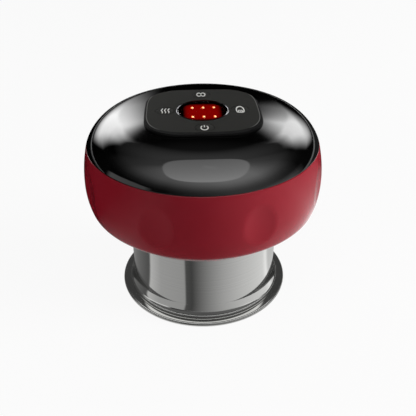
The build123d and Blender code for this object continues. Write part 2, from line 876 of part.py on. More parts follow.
# Chassis: a round plate with hollow posts, saddles for pump and cell, and the inlet's shelf.
saddle_thickness = 2.0
saddle_share = 0.62
cell_saddle_share = 0.85
pump_saddle_half = -pump_place - hose_radius - laying_gap
head_saddle = (diaphragm_end + valve_plate_end - saddle_thickness) / 2
motor_saddle = cushion_places[1] + (cushion_width - saddle_thickness) / 2
cell_saddle_inset = 9.0
cell_saddles = (cell_saddle_inset - cell_half, cell_half - cell_saddle_inset - saddle_thickness)
shelf_place = 5.5
shelf_depth = 6.0
chassis_radius = lip_radius

with BuildPart() as chassis:
    with BuildSketch(Plane.XY.offset(chassis_low)):
        Circle(chassis_radius)
        Circle(tee_radius + laying_gap, mode=Mode.SUBTRACT)
    extrude(amount=chassis_thickness)
    with BuildSketch(Plane.XY.offset(chassis_low)):
        with Locations(post_places):
            Circle(post_radius)
    extrude(amount=post_top - chassis_low)
    for place in (head_saddle, motor_saddle):
        with BuildSketch(Plane.YZ.offset(place)):
            with Locations((pump_place, chassis_top)):
                Rectangle(
                    pump_saddle_half * 2, pump_radius * saddle_share, align=(Align.CENTER, Align.MIN)
                )
            with Locations((pump_place, pump_height)):
                Circle(pump_radius + running_gap, mode=Mode.SUBTRACT)
        extrude(amount=saddle_thickness)
    for place in cell_saddles:
        with BuildSketch(Plane.YZ.offset(place)):
            with Locations((cell_place, chassis_top)):
                Rectangle(
                    cell_radius * cell_saddle_share * 2, cell_radius * saddle_share,
                    align=(Align.CENTER, Align.MIN),
                )
            with Locations((cell_place, cell_height)):
                Circle(cell_radius + running_gap, mode=Mode.SUBTRACT)
        extrude(amount=saddle_thickness)
    with BuildSketch(Plane.XY.offset(chassis_top)):
        with Locations(
            (-shelf_place, charge_board_edge - shelf_depth), (shelf_place, charge_board_edge - shelf_depth)
        ):
            Rectangle(saddle_thickness, shelf_depth)
    extrude(amount=charge_board_low - chassis_top)
    with BuildSketch(Plane.XY.offset(chassis_low)):
        with Locations(post_places):
            Circle(screw_bore)
    extrude(amount=post_top - chassis_low, mode=Mode.SUBTRACT)
chassis.part.label = "chassis"
export_step(chassis.part, "parts/chassis.step")

# Long housing screws, heads down in the base.
slot_width = 0.7
slot_depth = 0.6

with BuildPart() as housing_screws:
    with BuildSketch(Plane.XY.offset(head_top - screw_head_height)):
        with Locations(post_places):
            Circle(screw_head_radius)
    extrude(amount=screw_head_height)
    with BuildSketch(Plane.XY.offset(head_top)):
        with Locations(post_places):
            Circle(screw_radius)
    extrude(amount=screw_tip - head_top)
    with BuildSketch(Plane.XY.offset(head_top - screw_head_height)):
        with Locations(post_places):
            Rectangle(screw_head_radius, slot_width)
            Rectangle(slot_width, screw_head_radius)
    extrude(amount=slot_depth, mode=Mode.SUBTRACT)
housing_screws.part.label = "housing_screws"
export_step(housing_screws.part, "parts/housing_screws.step")

# Control panel: a rounded square with bowed sides and a fine bevel, a little proud of the dome.
panel_side_inset = 9.1
panel_front_inset = 9.0
panel_bow = 0.9
panel_corner = 13.0
panel_bevel = 0.45
display_radius = 9.15
bezel_width = 0.5
bezel_stand = 0.2
key_share = 0.2857
key_spread_share = 0.3463
key_reach_share = 0.502
bezel_radius = display_radius + bezel_width
half_panel_width = shoulder_radius - panel_side_inset
half_panel_depth = shoulder_radius - panel_front_inset

# The keys stand in the room between the bezel and the panel's edges.
side_room = half_panel_width - bezel_radius
front_room = half_panel_depth - bezel_radius
key_radius = side_room * key_share
key_spread = bezel_radius + side_room * key_spread_share
key_reach = bezel_radius + front_room * key_reach_share
key_places = {
    "power_key": (0, -key_reach),
    "mode_key": (0, key_reach),
    "heat_key": (-key_spread, 0),
    "suction_key": (key_spread, 0),
}


def panel_outline(grow):
    """The panel's rounded and bowed square, larger all round by the given gap."""
    wide = half_panel_width + grow
    deep = half_panel_depth + grow
    with BuildSketch() as outline:
        with BuildLine():
            corners = [(side_x * (wide - panel_bow), side_y * (deep - panel_bow))
                       for side_x, side_y in ((-1, -1), (1, -1), (1, 1), (-1, 1))]
            ThreePointArc(corners[0], (0, -deep), corners[1])
            ThreePointArc(corners[1], (wide, 0), corners[2])
            ThreePointArc(corners[2], (0, deep), corners[3])
            ThreePointArc(corners[3], (-wide, 0), corners[0])
        make_face()
        fillet(outline.vertices(), radius=panel_corner + grow)
    return outline.sketch


with BuildPart() as control_panel:
    with BuildSketch(Plane.XY.offset(panel_low)):
        add(panel_outline(0))
    extrude(amount=panel_thickness)
    chamfer(control_panel.edges().group_by(Axis.Z)[-1], length=panel_bevel)
    with BuildSketch(Plane.XY.offset(panel_low)):
        Circle(bezel_radius + running_gap)
        with Locations(list(key_places.values())):
            Circle(key_radius + fit_gap)
    extrude(amount=panel_thickness, mode=Mode.SUBTRACT)
control_panel.part.label = "control_panel"
export_step(control_panel.part, "parts/control_panel.step")

# Display bezel and lens in the middle of the panel.
lens_thickness = 0.8
lens_drop = 0.05
bezel_ledge = 0.6
bezel_round = 0.2
lens_low = overall_height - lens_drop - lens_thickness

with BuildPart() as display_bezel:
    with BuildSketch(Plane.XZ):
        Polygon(
            (display_radius - bezel_ledge, panel_low),
            (bezel_radius, panel_low),
            (bezel_radius, overall_height + bezel_stand),
            (display_radius, overall_height + bezel_stand),
            (display_radius, lens_low),
            (display_radius - bezel_ledge, lens_low),
            align=None,
        )
    revolve(axis=Axis.Z)
    fillet(display_bezel.edges().group_by(Axis.Z)[-1], radius=bezel_round)
display_bezel.part.label = "display_bezel"
export_step(display_bezel.part, "parts/display_bezel.step")

with BuildPart() as display_lens:
    with BuildSketch(Plane.XY.offset(lens_low)):
        Circle(display_radius - running_gap)
    extrude(amount=lens_thickness)
display_lens.part.label = "display_lens"
export_step(display_lens.part, "parts/display_lens.step")

# Display lamps on tall legs, and the block that holds them just under the lens.
led_columns = 3
led_rows = 2
led_pitch_share = 0.437
led_row_pitch_share = 0.918
led_radius = 0.9
led_gap = 0.15
baffle_drop = 0.35
baffle_radius = display_radius - bezel_ledge - fit_gap
led_pitch = display_radius * led_pitch_share
led_row_pitch = display_radius * led_row_pitch_share
led_top = lens_low - led_gap
baffle_top = lens_low - baffle_drop

with BuildPart() as display_leds:
    with BuildSketch(Plane.XY.offset(board_top)):
        with GridLocations(led_pitch, led_row_pitch, led_columns, led_rows):
            Circle(led_radius)
    extrude(amount=led_top - board_top)
    fillet(display_leds.edges().group_by(Axis.Z)[-1], radius=led_radius * 3 / 4)
display_leds.part.label = "display_leds"
export_step(display_leds.part, "parts/display_leds.step")

with BuildPart() as light_baffle:
    with BuildSketch(Plane.XY.offset(board_top)):
        Circle(baffle_radius)
        with GridLocations(led_pitch, led_row_pitch, led_columns, led_rows):
            Circle(led_radius + running_gap, mode=Mode.SUBTRACT)
    extrude(amount=baffle_top - board_top)
light_baffle.part.label = "light_baffle"
export_step(light_baffle.part, "parts/light_baffle.step")

# Keys: flush round caps with a flange that stops them under the dome, and a nib below.
nib_radius = 1.1
nib_length = 1.2
nib_gap = 0.15

for name, place in key_places.items():
    with BuildPart() as key:
        with BuildSketch(Plane.XY.offset(flange_high)):
            with Locations(place):
                Circle(key_radius)
        extrude(amount=overall_height - flange_high)
        fillet(key.edges().group_by(Axis.Z)[-1], radius=key_gap)
        with BuildSketch(Plane.XY.offset(flange_low)):
            with Locations(place):
                Circle(key_radius + key_flange)
        extrude(amount=key_flange)
        with BuildSketch(Plane.XY.offset(flange_low - nib_length)):
            with Locations(place):
                Circle(nib_radius)
        extrude(amount=nib_length)
    key.part.label = name
    export_step(key.part, f"parts/{name}.step")

# Switches on the board, each with the well that its key's nib dips into.
switch_width = 6.0
well_depth = nib_length - switch_gap + nib_gap

with BuildPart() as tact_switches:
    with BuildSketch(Plane.XY.offset(board_top)):
        with Locations(list(key_places.values())):
            Rectangle(switch_width, switch_width)
    extrude(amount=switch_height)
    with BuildSketch(Plane.XY.offset(switch_top - well_depth)):
        with Locations(list(key_places.values())):
            Circle(nib_radius + nib_gap)
    extrude(amount=well_depth, mode=Mode.SUBTRACT)
tact_switches.part.label = "tact_switches"
export_step(tact_switches.part, "parts/tact_switches.step")

# Control board with its processor and connectors, hung from the dome's short bosses.
board_margin = 1.9
boss_inset = 3.0
boss_radius = 2.4
boss_angles = (45, 135, 225, 315)
board_screw_radius = 0.9
board_head_radius = 1.7
board_head_height = 1.0
chip_width = 7.0
chip_height = 1.0
chip_gap = 1.2
plug_width = 8.0
plug_depth = 4.5
plug_inset = 8.0

board_radius = post_circle - post_radius - board_margin
boss_places = around(board_radius - boss_inset, boss_angles)
chip_place = boss_places[0][0] - board_head_radius - chip_gap - chip_width / 2
plug_place = board_radius - plug_inset

with BuildPart() as control_board:
    with BuildSketch(Plane.XY.offset(board_low)):
        Circle(board_radius)
        with Locations(boss_places):
            Circle(board_screw_radius + screw_clearance, mode=Mode.SUBTRACT)
    extrude(amount=board_thickness)
    with BuildSketch(Plane.XY.offset(board_low - chip_height)):
        with Locations((chip_place, chip_place)):
            Rectangle(chip_width, chip_width)
    extrude(amount=chip_height)
    with BuildSketch(Plane.XY.offset(board_low - plug_height)):
        with Locations((0, plug_place), (0, -plug_place)):
            Rectangle(plug_width, plug_depth)
    extrude(amount=plug_height)
control_board.part.label = "control_board"
export_step(control_board.part, "parts/control_board.step")

with BuildPart() as board_screws:
    with BuildSketch(Plane.XY.offset(board_low - board_head_height)):
        with Locations(boss_places):
            Circle(board_head_radius)
    extrude(amount=board_head_height)
    with BuildSketch(Plane.XY.offset(board_low)):
        with Locations(boss_places):
            Circle(board_screw_radius)
    extrude(amount=board_thickness * 2)
board_screws.part.label = "board_screws"
export_step(board_screws.part, "parts/board_screws.step")

# Top dome: one glossy cap with the panel's recess, the key holes and the display window.
skirt_wall = 1.4
skirt_drop = 3.0
skirt_rise = 2.2
skirt_radius = seam_radius - shell_wall - fit_gap

with BuildPart() as top_dome:
    with BuildSketch(Plane.XZ):
        with BuildLine():
            add([crown, shoulder])
            seat = Line(shoulder @ 1, (seam_radius - dome_wall, seam_height))
            inner_shoulder = TangentArc(
                beside(shoulder, 0, dome_wall), seat @ 1, tangent=shoulder % 0
            )
            inner_crown = TangentArc(
                (0, dome_height - dome_wall), inner_shoulder @ 0, tangent=crown % 0
            )
            Line(inner_crown @ 0, crown @ 0)
        make_face()
    revolve(axis=Axis.Z)
    with BuildSketch(Plane.XY.offset(seam_height - skirt_drop)):
        Circle(skirt_radius)
        Circle(skirt_radius - skirt_wall, mode=Mode.SUBTRACT)
    extrude(amount=skirt_drop + skirt_rise)
    with BuildSketch(Plane.XY.offset(recess_low)):
        add(panel_outline(dome_wall))
    extrude(amount=recess_floor)
    with BuildSketch(Plane.XY.offset(post_top)):
        with Locations(post_places):
            Circle(post_radius)
    extrude(until=Until.NEXT)
    with BuildSketch(Plane.XY.offset(board_top)):
        with Locations(boss_places):
            Circle(boss_radius)
    extrude(until=Until.NEXT)
    with BuildSketch(Plane.XY.offset(panel_low)):
        add(panel_outline(seal_gap))
    extrude(amount=overrun, mode=Mode.SUBTRACT)
    with BuildSketch(Plane.XY.offset(recess_low)):
        Circle(display_radius - bezel_ledge)
        with Locations(list(key_places.values())):
            Circle(key_radius + fit_gap)
    extrude(amount=recess_floor, mode=Mode.SUBTRACT)
    with BuildSketch(Plane.XY.offset(post_top)):
        with Locations(post_places):
            Circle(screw_bore)
    extrude(amount=thread_depth + laying_gap, mode=Mode.SUBTRACT)
    with BuildSketch(Plane.XY.offset(board_top)):
        with Locations(boss_places):
            Circle(board_screw_radius + screw_clearance)
    extrude(amount=board_thickness + laying_gap, mode=Mode.SUBTRACT)
    dome_edges = top_dome.edges().filter_by(GeomType.CIRCLE)
    fillet(
        dome_edges.filter_by(lambda edge: edge.radius > seam_radius - seam_round).sort_by(Axis.Z)[0],
        radius=seam_round,
    )
top_dome.part.label = "top_dome"
export_step(top_dome.part, "parts/top_dome.step")
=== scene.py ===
# %% [markdown]
# # Electric cupping massager
# This script dresses a CAD model of a palm-sized cupping massager. The CAD model comes in as
# a fixed frame, in metres, with +Z up and the front at -Y. The glossy and curved outside is
# drawn again here with enough steps to carry smooth reflections, the inner parts keep their
# CAD shapes, and every part gets the finish of its real material.

# %% Load the frame
import json
from math import asin, atan2, cos, degrees, hypot, pi, radians, sin

import bmesh
import bpy
from mathutils import Matrix, Vector

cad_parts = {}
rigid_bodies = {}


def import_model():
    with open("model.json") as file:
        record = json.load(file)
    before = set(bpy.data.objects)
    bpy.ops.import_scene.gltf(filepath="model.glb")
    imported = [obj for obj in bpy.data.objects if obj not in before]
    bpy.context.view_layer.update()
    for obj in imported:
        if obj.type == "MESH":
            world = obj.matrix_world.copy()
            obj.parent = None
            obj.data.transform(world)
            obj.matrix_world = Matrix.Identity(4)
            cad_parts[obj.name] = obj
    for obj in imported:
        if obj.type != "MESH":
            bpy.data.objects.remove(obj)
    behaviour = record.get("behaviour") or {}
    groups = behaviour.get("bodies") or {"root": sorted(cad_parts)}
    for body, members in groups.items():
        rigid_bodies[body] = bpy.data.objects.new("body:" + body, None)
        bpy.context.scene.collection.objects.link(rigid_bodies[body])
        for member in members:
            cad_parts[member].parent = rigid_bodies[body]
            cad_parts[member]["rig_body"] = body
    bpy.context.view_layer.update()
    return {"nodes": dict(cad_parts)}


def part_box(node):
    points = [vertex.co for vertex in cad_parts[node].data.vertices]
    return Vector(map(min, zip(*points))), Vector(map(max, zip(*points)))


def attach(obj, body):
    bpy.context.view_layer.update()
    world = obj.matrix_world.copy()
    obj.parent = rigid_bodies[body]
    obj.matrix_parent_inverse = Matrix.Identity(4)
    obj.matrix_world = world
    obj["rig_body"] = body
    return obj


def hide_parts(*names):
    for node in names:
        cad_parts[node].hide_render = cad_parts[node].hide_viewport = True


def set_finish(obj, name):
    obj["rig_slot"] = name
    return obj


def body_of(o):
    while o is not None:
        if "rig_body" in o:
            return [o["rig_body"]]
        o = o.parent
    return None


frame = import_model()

MM = 0.001
nodes = frame["nodes"]
scene = bpy.context.scene

# %% [markdown]
# ## Reading sizes from the frame
# A piece that is drawn again has to fit the others, so its main sizes come from the boxes of
# the CAD nodes, in millimetres. Only what no box tells is written as a number.

# %% Sizes from the CAD boxes
def reach(node):
    """How far a round node reaches from the axis."""
    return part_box(node)[1].x / MM


def low(node):
    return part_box(node)[0].z / MM


def high(node):
    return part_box(node)[1].z / MM


body_radius = reach("grip_shell")
seam_height = high("grip_shell")
base_seam_height = low("grip_shell")
panel_top = high("control_panel")
cup_top = high("suction_cup")
rim_radius = reach("suction_cup")
print(f"body radius {body_radius:.2f}, seams at {seam_height:.2f} and {base_seam_height:.2f}, "
      f"panel {panel_top:.2f}, cup top {cup_top:.2f}, rim {rim_radius:.2f}")

# %% [markdown]
# ## Drawing a section and turning it
# Nearly every outside part is turned: its section is drawn once and spun round the axis.
# The spin operator also draws the arcs of the section, because a single vertex that is spun
# round an arc's centre leaves that arc behind it. An arc that starts along a given direction
# and ends at a given point needs no other measure.

# %% Section helpers
def start_at(bm, radius, height):
    return bm.verts.new((radius * MM, 0, height * MM))


def lines_to(bm, vert, *points):
    """Adds an edge to each point of the section in turn, and returns the last vertex."""
    for radius, height in points:
        vert = bmesh.ops.extrude_vert_indiv(bm, verts=[vert])["verts"][0]
        vert.co = (radius * MM, 0, height * MM)
    return vert


def verts_of(geometry):
    """Only the vertices of what an operator gives back."""
    return [part for part in geometry if isinstance(part, bmesh.types.BMVert)]


def edges_of(geometry):
    return [part for part in geometry if isinstance(part, bmesh.types.BMEdge)]


def arc_to(bm, vert, radius, height, along, steps):
    """Adds an arc that starts in the given direction. Returns its last vertex and direction."""
    begin = Vector((vert.co.x, vert.co.z))
    chord = Vector((radius * MM, height * MM)) - begin
    along = Vector(along).normalized()
    side = Vector((along.y, -along.x))
    centre = begin + side * (chord.length_squared / (2 * chord.dot(side)))
    turn = 2 * atan2(chord.dot(side), chord.dot(along))
    spun = bmesh.ops.spin(bm, geom=[vert], cent=(centre.x, 0, centre.y), axis=(0, 1, 0),
                          angle=turn, steps=steps)
    return verts_of(spun["geom_last"])[0], tuple(Matrix.Rotation(-turn, 2) @ along)


def soften(bm, verts, size, steps=3):
    """Rounds corners of the section."""
    bmesh.ops.bevel(bm, geom=verts, offset=size * MM, offset_type="OFFSET", affect="VERTICES",
                    segments=steps, profile=0.5, material=-1)


def turned(bm, steps):
    """Turns the section into a ring-shaped solid, with its faces outwards."""
    bmesh.ops.spin(bm, geom=bm.verts[:] + bm.edges[:], cent=(0, 0, 0), axis=(0, 0, 1),
                   angle=2 * pi, steps=steps, use_merge=True)
    bmesh.ops.remove_doubles(bm, verts=bm.verts[:], dist=0.0005 * MM)
    bmesh.ops.recalc_face_normals(bm, faces=bm.faces[:])


def thicken(bm, move):
    """Pulls a flat mesh out to a solid, with its faces outwards."""
    pulled = bmesh.ops.extrude_face_region(bm, geom=bm.faces[:])
    bmesh.ops.translate(bm, verts=verts_of(pulled["geom"]), vec=move)
    bmesh.ops.recalc_face_normals(bm, faces=bm.faces[:])


def mesh_piece(bm, name):
    """Makes the mesh an object in the scene."""
    mesh = bpy.data.meshes.new(name)
    bm.to_mesh(mesh)
    bm.free()
    piece = bpy.data.objects.new(name, mesh)
    scene.collection.objects.link(piece)
    return piece


def finished(bm, name, node, crease=30):
    """Makes the mesh a piece that takes the CAD node's place, smooth but for sharp edges.

    A copy of a CAD mesh brings normals of its own, which would hide the smooth shading.
    """
    piece = mesh_piece(bm, name)
    mesh = piece.data
    if mesh.has_custom_normals:
        mesh.attributes.remove(mesh.attributes["custom_normal"])
    mesh.shade_smooth()
    mesh.set_sharp_from_angle(angle=radians(crease))
    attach(piece, body_of_node[node])
    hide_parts(node)
    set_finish(piece, slot_of_node[node])
    print(f"{name}: {len(mesh.polygons)} faces")
    return piece


body_of_node = {name: body_of(node)[0] for name, node in nodes.items()}
slot_of_node = {name: node.data.materials[0].name for name, node in nodes.items()}
print("bodies:", sorted(set(body_of_node.values())))

# %% [markdown]
# ## Top dome
# The real dome is a moulded cap, painted glossy black. Gloss shows every flat of a mesh, so
# the crown and the shoulder are two arcs that meet without a kink, spun in many steps. The
# control panel and its keys fill the middle, so the cap is left open there.

# %% Top dome
seam_round = 0.3
seam_share = 0.9571
panel_stand = 0.1
seam_radius = body_radius * seam_share
dome_top = panel_top - panel_stand
shoulder_radius = 30.3
shoulder_drop = 1.32
dome_wall = 2.0
dome_opening = 20.5
turn_steps = 256

bm = bmesh.new()
crown_curve = (shoulder_radius**2 + shoulder_drop**2) / (2 * shoulder_drop)
opening_angle = asin(dome_opening / crown_curve)
opening_height = dome_top - crown_curve * (1 - cos(opening_angle))
first = start_at(bm, dome_opening, opening_height)
vert, along = arc_to(bm, first, shoulder_radius, dome_top - shoulder_drop,
                     (cos(opening_angle), -sin(opening_angle)), steps=12)
rim = arc_to(bm, vert, seam_radius, seam_height, along, steps=40)[0]
vert = lines_to(bm, rim,
                (seam_radius - dome_wall, seam_height),
                (seam_radius - 3 * dome_wall, seam_height + 3 * dome_wall),
                (shoulder_radius, dome_top - shoulder_drop - dome_wall),
                (dome_opening, opening_height - dome_wall))
bm.edges.new((vert, first))
soften(bm, [rim], seam_round)
turned(bm, turn_steps)
dome = finished(bm, "dome_cap", "top_dome", crease=40)

# %% [markdown]
# ## Grip shell
# The shell is a thin lacquered band. Its section runs from the top seam down a long flank,
# round the waist and over a short cone to the bottom seam. It is spun in small steps,
# because the finger dimples that come next are pressed into its vertices.

# %% Grip shell
widest_height = 49.2
belly = (43.74, 40.6)
cone = (42.4, 38.5)
base_seam_radius = 40.5
shell_wall = 2.2
foot_width = 3.2
shell_steps = 560

bm = bmesh.new()
lip = start_at(bm, seam_radius, seam_height)
flank_rise = seam_height - widest_height
flank_swell = body_radius - seam_radius
flank_angle = 2 * atan2(flank_swell, flank_rise)
vert = arc_to(bm, lip, body_radius, widest_height,
              (sin(flank_angle), -cos(flank_angle)), steps=44)[0]
vert, along = arc_to(bm, vert, *belly, (0, -1), steps=28)
vert = arc_to(bm, vert, *cone, along, steps=10)[0]
foot = lines_to(bm, vert, (base_seam_radius, base_seam_height))
vert = lines_to(bm, foot,
                (base_seam_radius - foot_width, base_seam_height),
                (cone[0] - shell_wall, cone[1]),
                (body_radius - shell_wall, widest_height),
                (seam_radius - shell_wall, seam_height))
bm.edges.new((vert, lip))
soften(bm, [lip, foot], seam_round)
turned(bm, shell_steps)
shell_mesh = bm
print("shell vertices:", len(shell_mesh.verts))

# %% [markdown]
# ## Finger dimples
# Eight soft dimples give the fingers a hold. Each is the hollow that a large upright barrel
# leaves where it dips one millimetre into the wall. A boolean cut would leave a hard rim,
# so each vertex near a dimple is pushed inwards until it lies on the barrel instead. The
# push fades out over the last tenths of a millimetre, which rounds the rim. The inner wall
# stays as it is.

# %% Finger dimples
dimple_count = 8
dimple_first_angle = 22.5
dimple_height = 52.8
dimple_depth = 1.0
dimple_width = 12.5
dimple_length = 16.5
dimple_soft = 0.3

flank_curve = (flank_rise**2 + flank_swell**2) / (2 * flank_swell)
barrel_radius = 1 / (8 * dimple_depth / dimple_width**2 - 1 / body_radius)
barrel_bow = 1 / (8 * dimple_depth / dimple_length**2 - 1 / flank_curve)
barrel_distance = body_radius - dimple_depth + barrel_radius
pitch = 360 / dimple_count
outside_from = seam_radius - shell_wall / 2
dimple_span = dimple_length * 0.6
pushed = 0
for vert in shell_mesh.verts:
    radius = hypot(vert.co.x, vert.co.y) / MM
    rise = vert.co.z / MM - dimple_height
    if radius < outside_from or abs(rise) > dimple_span:
        continue
    turn = (degrees(atan2(vert.co.y, vert.co.x)) - dimple_first_angle) % pitch
    turn = radians(min(turn, pitch - turn))
    reach_in = barrel_radius - rise**2 / (2 * barrel_bow)
    push = reach_in - hypot(barrel_distance - radius * cos(turn), radius * sin(turn))
    fade = max(dimple_soft - abs(push), 0) / dimple_soft
    push = max(push, 0) + dimple_soft * fade**2 / 4
    if push > 0:
        vert.co.xy *= 1 - push / radius
        pushed += 1
shell = finished(shell_mesh, "shell_band", "grip_shell", crease=50)
print("vertices pushed in:", pushed)

# %% [markdown]
# ## Slot for the charging inlet
# At the back a slot with round ends lets the charging plug in. It is cut with a boolean,
# because the band is dense enough there to keep its shading, and the result is made a plain
# mesh so that the piece carries no live cutter.

# %% Slot for the charging inlet
slot_width = 9.6
slot_height = 3.9
slot_level = 50.0
slot_start = body_radius + 2
slot_depth = 9

bm = bmesh.new()
bmesh.ops.create_circle(bm, cap_ends=True, radius=slot_height / 2 * MM, segments=48)
for vert in bm.verts:
    vert.co.x += (slot_width - slot_height) / 2 * MM * (1 if vert.co.x > 0 else -1)
bmesh.ops.rotate(bm, verts=bm.verts[:], cent=(0, 0, 0), matrix=Matrix.Rotation(pi / 2, 3, "X"))
bmesh.ops.translate(bm, verts=bm.verts[:], vec=(0, slot_start * MM, slot_level * MM))
thicken(bm, (0, -slot_depth * MM, 0))
cutter = mesh_piece(bm, "inlet_cutter")

cut = shell.modifiers.new("inlet", "BOOLEAN")
cut.operation = "DIFFERENCE"
cut.solver = "EXACT"
cut.object = cutter
bpy.context.view_layer.update()
whole = shell.evaluated_get(bpy.context.evaluated_depsgraph_get())
cut_mesh = bpy.data.meshes.new_from_object(whole)
shell.modifiers.clear()
shell.data = cut_mesh
bpy.data.objects.remove(cutter)
print("shell faces after the cut:", len(cut_mesh.polygons))

# %% [markdown]
# ## Suction cup
# The cup is turned from metal: a straight wall, a hollow foot, a small step and a flanged
# rim that lies on the skin. The section follows the CAD cup, with its edges softened by a
# few tenths of a millimetre, as polishing leaves them. Its last arc, the flare of the mouth,
# ends on the first point, and turning merges the two.

# %% Suction cup
cup_radius = 29.2
cup_bore = 27.4
rim_thickness = 1.8
step_radius = 30.9
step_height = 2.9
foot_radius = 30.35
foot_height = 6.9
mouth_radius = 28.9
mouth_height = 5.0
rim_round = 0.7
step_round = 0.5
top_round = 0.4

bm = bmesh.new()
mouth = start_at(bm, mouth_radius, 0)
rim_low = lines_to(bm, mouth, (rim_radius, 0))
rim_high = lines_to(bm, rim_low, (rim_radius, rim_thickness))
step_edge = lines_to(bm, rim_high, (step_radius, rim_thickness), (step_radius, step_height))
vert = lines_to(bm, step_edge, (foot_radius, step_height))
foot_lean = 2 * atan2(foot_radius - cup_radius, foot_height - step_height)
vert = arc_to(bm, vert, cup_radius, foot_height, (-sin(foot_lean), cos(foot_lean)),
              steps=12)[0]
top_outer = lines_to(bm, vert, (cup_radius, cup_top))
top_inner = lines_to(bm, top_outer, (cup_bore, cup_top))
vert = lines_to(bm, top_inner, (cup_bore, mouth_height))
arc_to(bm, vert, mouth_radius, 0, (0, -1), steps=10)
soften(bm, [rim_low, rim_high], rim_round, steps=6)
soften(bm, [step_edge], step_round, steps=4)
soften(bm, [top_outer, top_inner], top_round)
turned(bm, turn_steps)
cup = finished(bm, "cup_turned", "suction_cup")

# %% [markdown]
# ## Window bezel and lens
# A thin polished ring holds the round dark window. The ring is turned, with a rounded crest
# that catches a line of light, and the lens is a flat disc with a fine bevel.

# %% Window bezel and lens
bezel_radius = reach("display_bezel")
bezel_low = low("display_bezel")
bezel_top = high("display_bezel")
lens_radius = reach("display_lens")
lens_low = low("display_lens")
lens_top = high("display_lens")
lens_gap = 0.05
lens_ledge = 0.55
lens_bevel = 0.12
crest_round = 0.22
bezel_steps = 160

bm = bmesh.new()
first = start_at(bm, bezel_radius, bezel_low)
crest_outer = lines_to(bm, first, (bezel_radius, bezel_top))
crest_inner = lines_to(bm, crest_outer, (lens_radius + lens_gap, bezel_top))
vert = lines_to(bm, crest_inner, (lens_radius + lens_gap, lens_low),
                (lens_radius - lens_ledge, lens_low), (lens_radius - lens_ledge, bezel_low))
bm.edges.new((vert, first))
soften(bm, [crest_outer, crest_inner], crest_round, steps=5)
turned(bm, bezel_steps)
bezel = finished(bm, "bezel_ring", "display_bezel", crease=35)

bm = bmesh.new()
bmesh.ops.create_circle(bm, cap_ends=True, radius=lens_radius * MM, segments=128)
bmesh.ops.translate(bm, verts=bm.verts[:], vec=(0, 0, lens_low * MM))
thicken(bm, (0, 0, (lens_top - lens_low) * MM))
top_edges = [edge for edge in bm.edges
             if all(vert.co.z > (lens_top - 0.01) * MM for vert in edge.verts)]
bmesh.ops.bevel(bm, geom=top_edges, offset=lens_bevel * MM, offset_type="OFFSET",
                affect="EDGES", segments=2, profile=0.5, material=-1)
lens = finished(bm, "window_lens", "display_lens", crease=15)

# %% [markdown]
# ## Smooth copies of the curved CAD parts
# The other CAD parts keep their shapes. Their meshes are loose triangles, which shade flat,
# so each curved one is copied, its doubled vertices are merged, and the copy is shaded
# smooth except at its real edges. The boards with their switches and lamps, and the plain
# plates of the pump, stay as they come.

# %% Smooth copies of the curved CAD parts
flat_parts = ["charging_board", "control_board", "light_board", "therapy_leds", "tact_switches",
              "pump_diaphragm", "valve_plate"]
redrawn = ["top_dome", "grip_shell", "suction_cup", "display_bezel", "display_lens"]
smooth_parts = {}
for name in sorted(nodes):
    if name in flat_parts + redrawn:
        continue
    bm = bmesh.new()
    bm.from_mesh(nodes[name].data)
    bmesh.ops.remove_doubles(bm, verts=bm.verts[:], dist=0.001 * MM)
    smooth_parts[name] = finished(bm, name + "_smooth", name, crease=35)
print("smooth copies:", len(smooth_parts))

# %% [markdown]
# ## Pictograms on the keys
# Four small pictograms are printed on the keys: a power ring, three waves of heat, a cup
# and two joined loops for the working mode. Each is drawn like a pen stroke: a short edge
# lies across the stroke and is extruded along the straight runs and spun round the bends.
# The strokes are stretched front to back, as the photograph shows them, and made a film with
# a little thickness, that rides on its key.

# %% Pictograms
STEPS_PER_RADIAN = 7
film_sunk = 0.03
film_thickness = 0.05


def stroke(bm, place, heading, moves, width):
    """Draws a flat stroke. A move is a length, or a radius and an angle: positive turns left."""
    x, y = place
    heading = radians(heading)
    side = Vector((-sin(heading), cos(heading), 0)) * width / 2
    centre = Vector((x, y, 0))
    edge = bm.edges.new([bm.verts.new(centre - side), bm.verts.new(centre + side)])
    for move in moves:
        ahead = Vector((cos(heading), sin(heading), 0))
        if isinstance(move, tuple):
            radius, angle = move[0], radians(move[1])
            left = Vector((-ahead.y, ahead.x, 0)) * (1 if angle > 0 else -1)
            pivot = centre + left * radius
            spun = bmesh.ops.spin(bm, geom=[edge] + list(edge.verts), cent=pivot,
                                  axis=(0, 0, 1), angle=angle,
                                  steps=max(3, int(abs(angle) * STEPS_PER_RADIAN)))
            edge = edges_of(spun["geom_last"])[0]
            heading += angle
        else:
            run = bmesh.ops.extrude_edge_only(bm, edges=[edge])["geom"]
            bmesh.ops.translate(bm, verts=verts_of(run), vec=ahead * move)
            edge = [part for part in edges_of(run) if all(vert in run for vert in part.verts)][0]
        centre = (edge.verts[0].co + edge.verts[1].co) / 2


def pictogram(name, key, strokes, width=0.4, stretch=2.1):
    """Prints the strokes, given in millimetres from the key's middle, on the key's face."""
    bm = bmesh.new()
    for place, heading, moves in strokes:
        stroke(bm, place, heading, moves, width)
    bmesh.ops.remove_doubles(bm, verts=bm.verts[:], dist=0.002)
    bmesh.ops.scale(bm, verts=bm.verts[:], vec=(MM, stretch * MM, MM))
    corner_a, corner_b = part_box(key)
    middle = (corner_a + corner_b) / 2
    bmesh.ops.translate(bm, verts=bm.verts[:],
                        vec=(middle.x, middle.y, corner_b.z - film_sunk * MM))
    thicken(bm, (0, 0, film_thickness * MM))
    piece = mesh_piece(bm, name)
    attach(piece, body_of_node[key])
    return piece


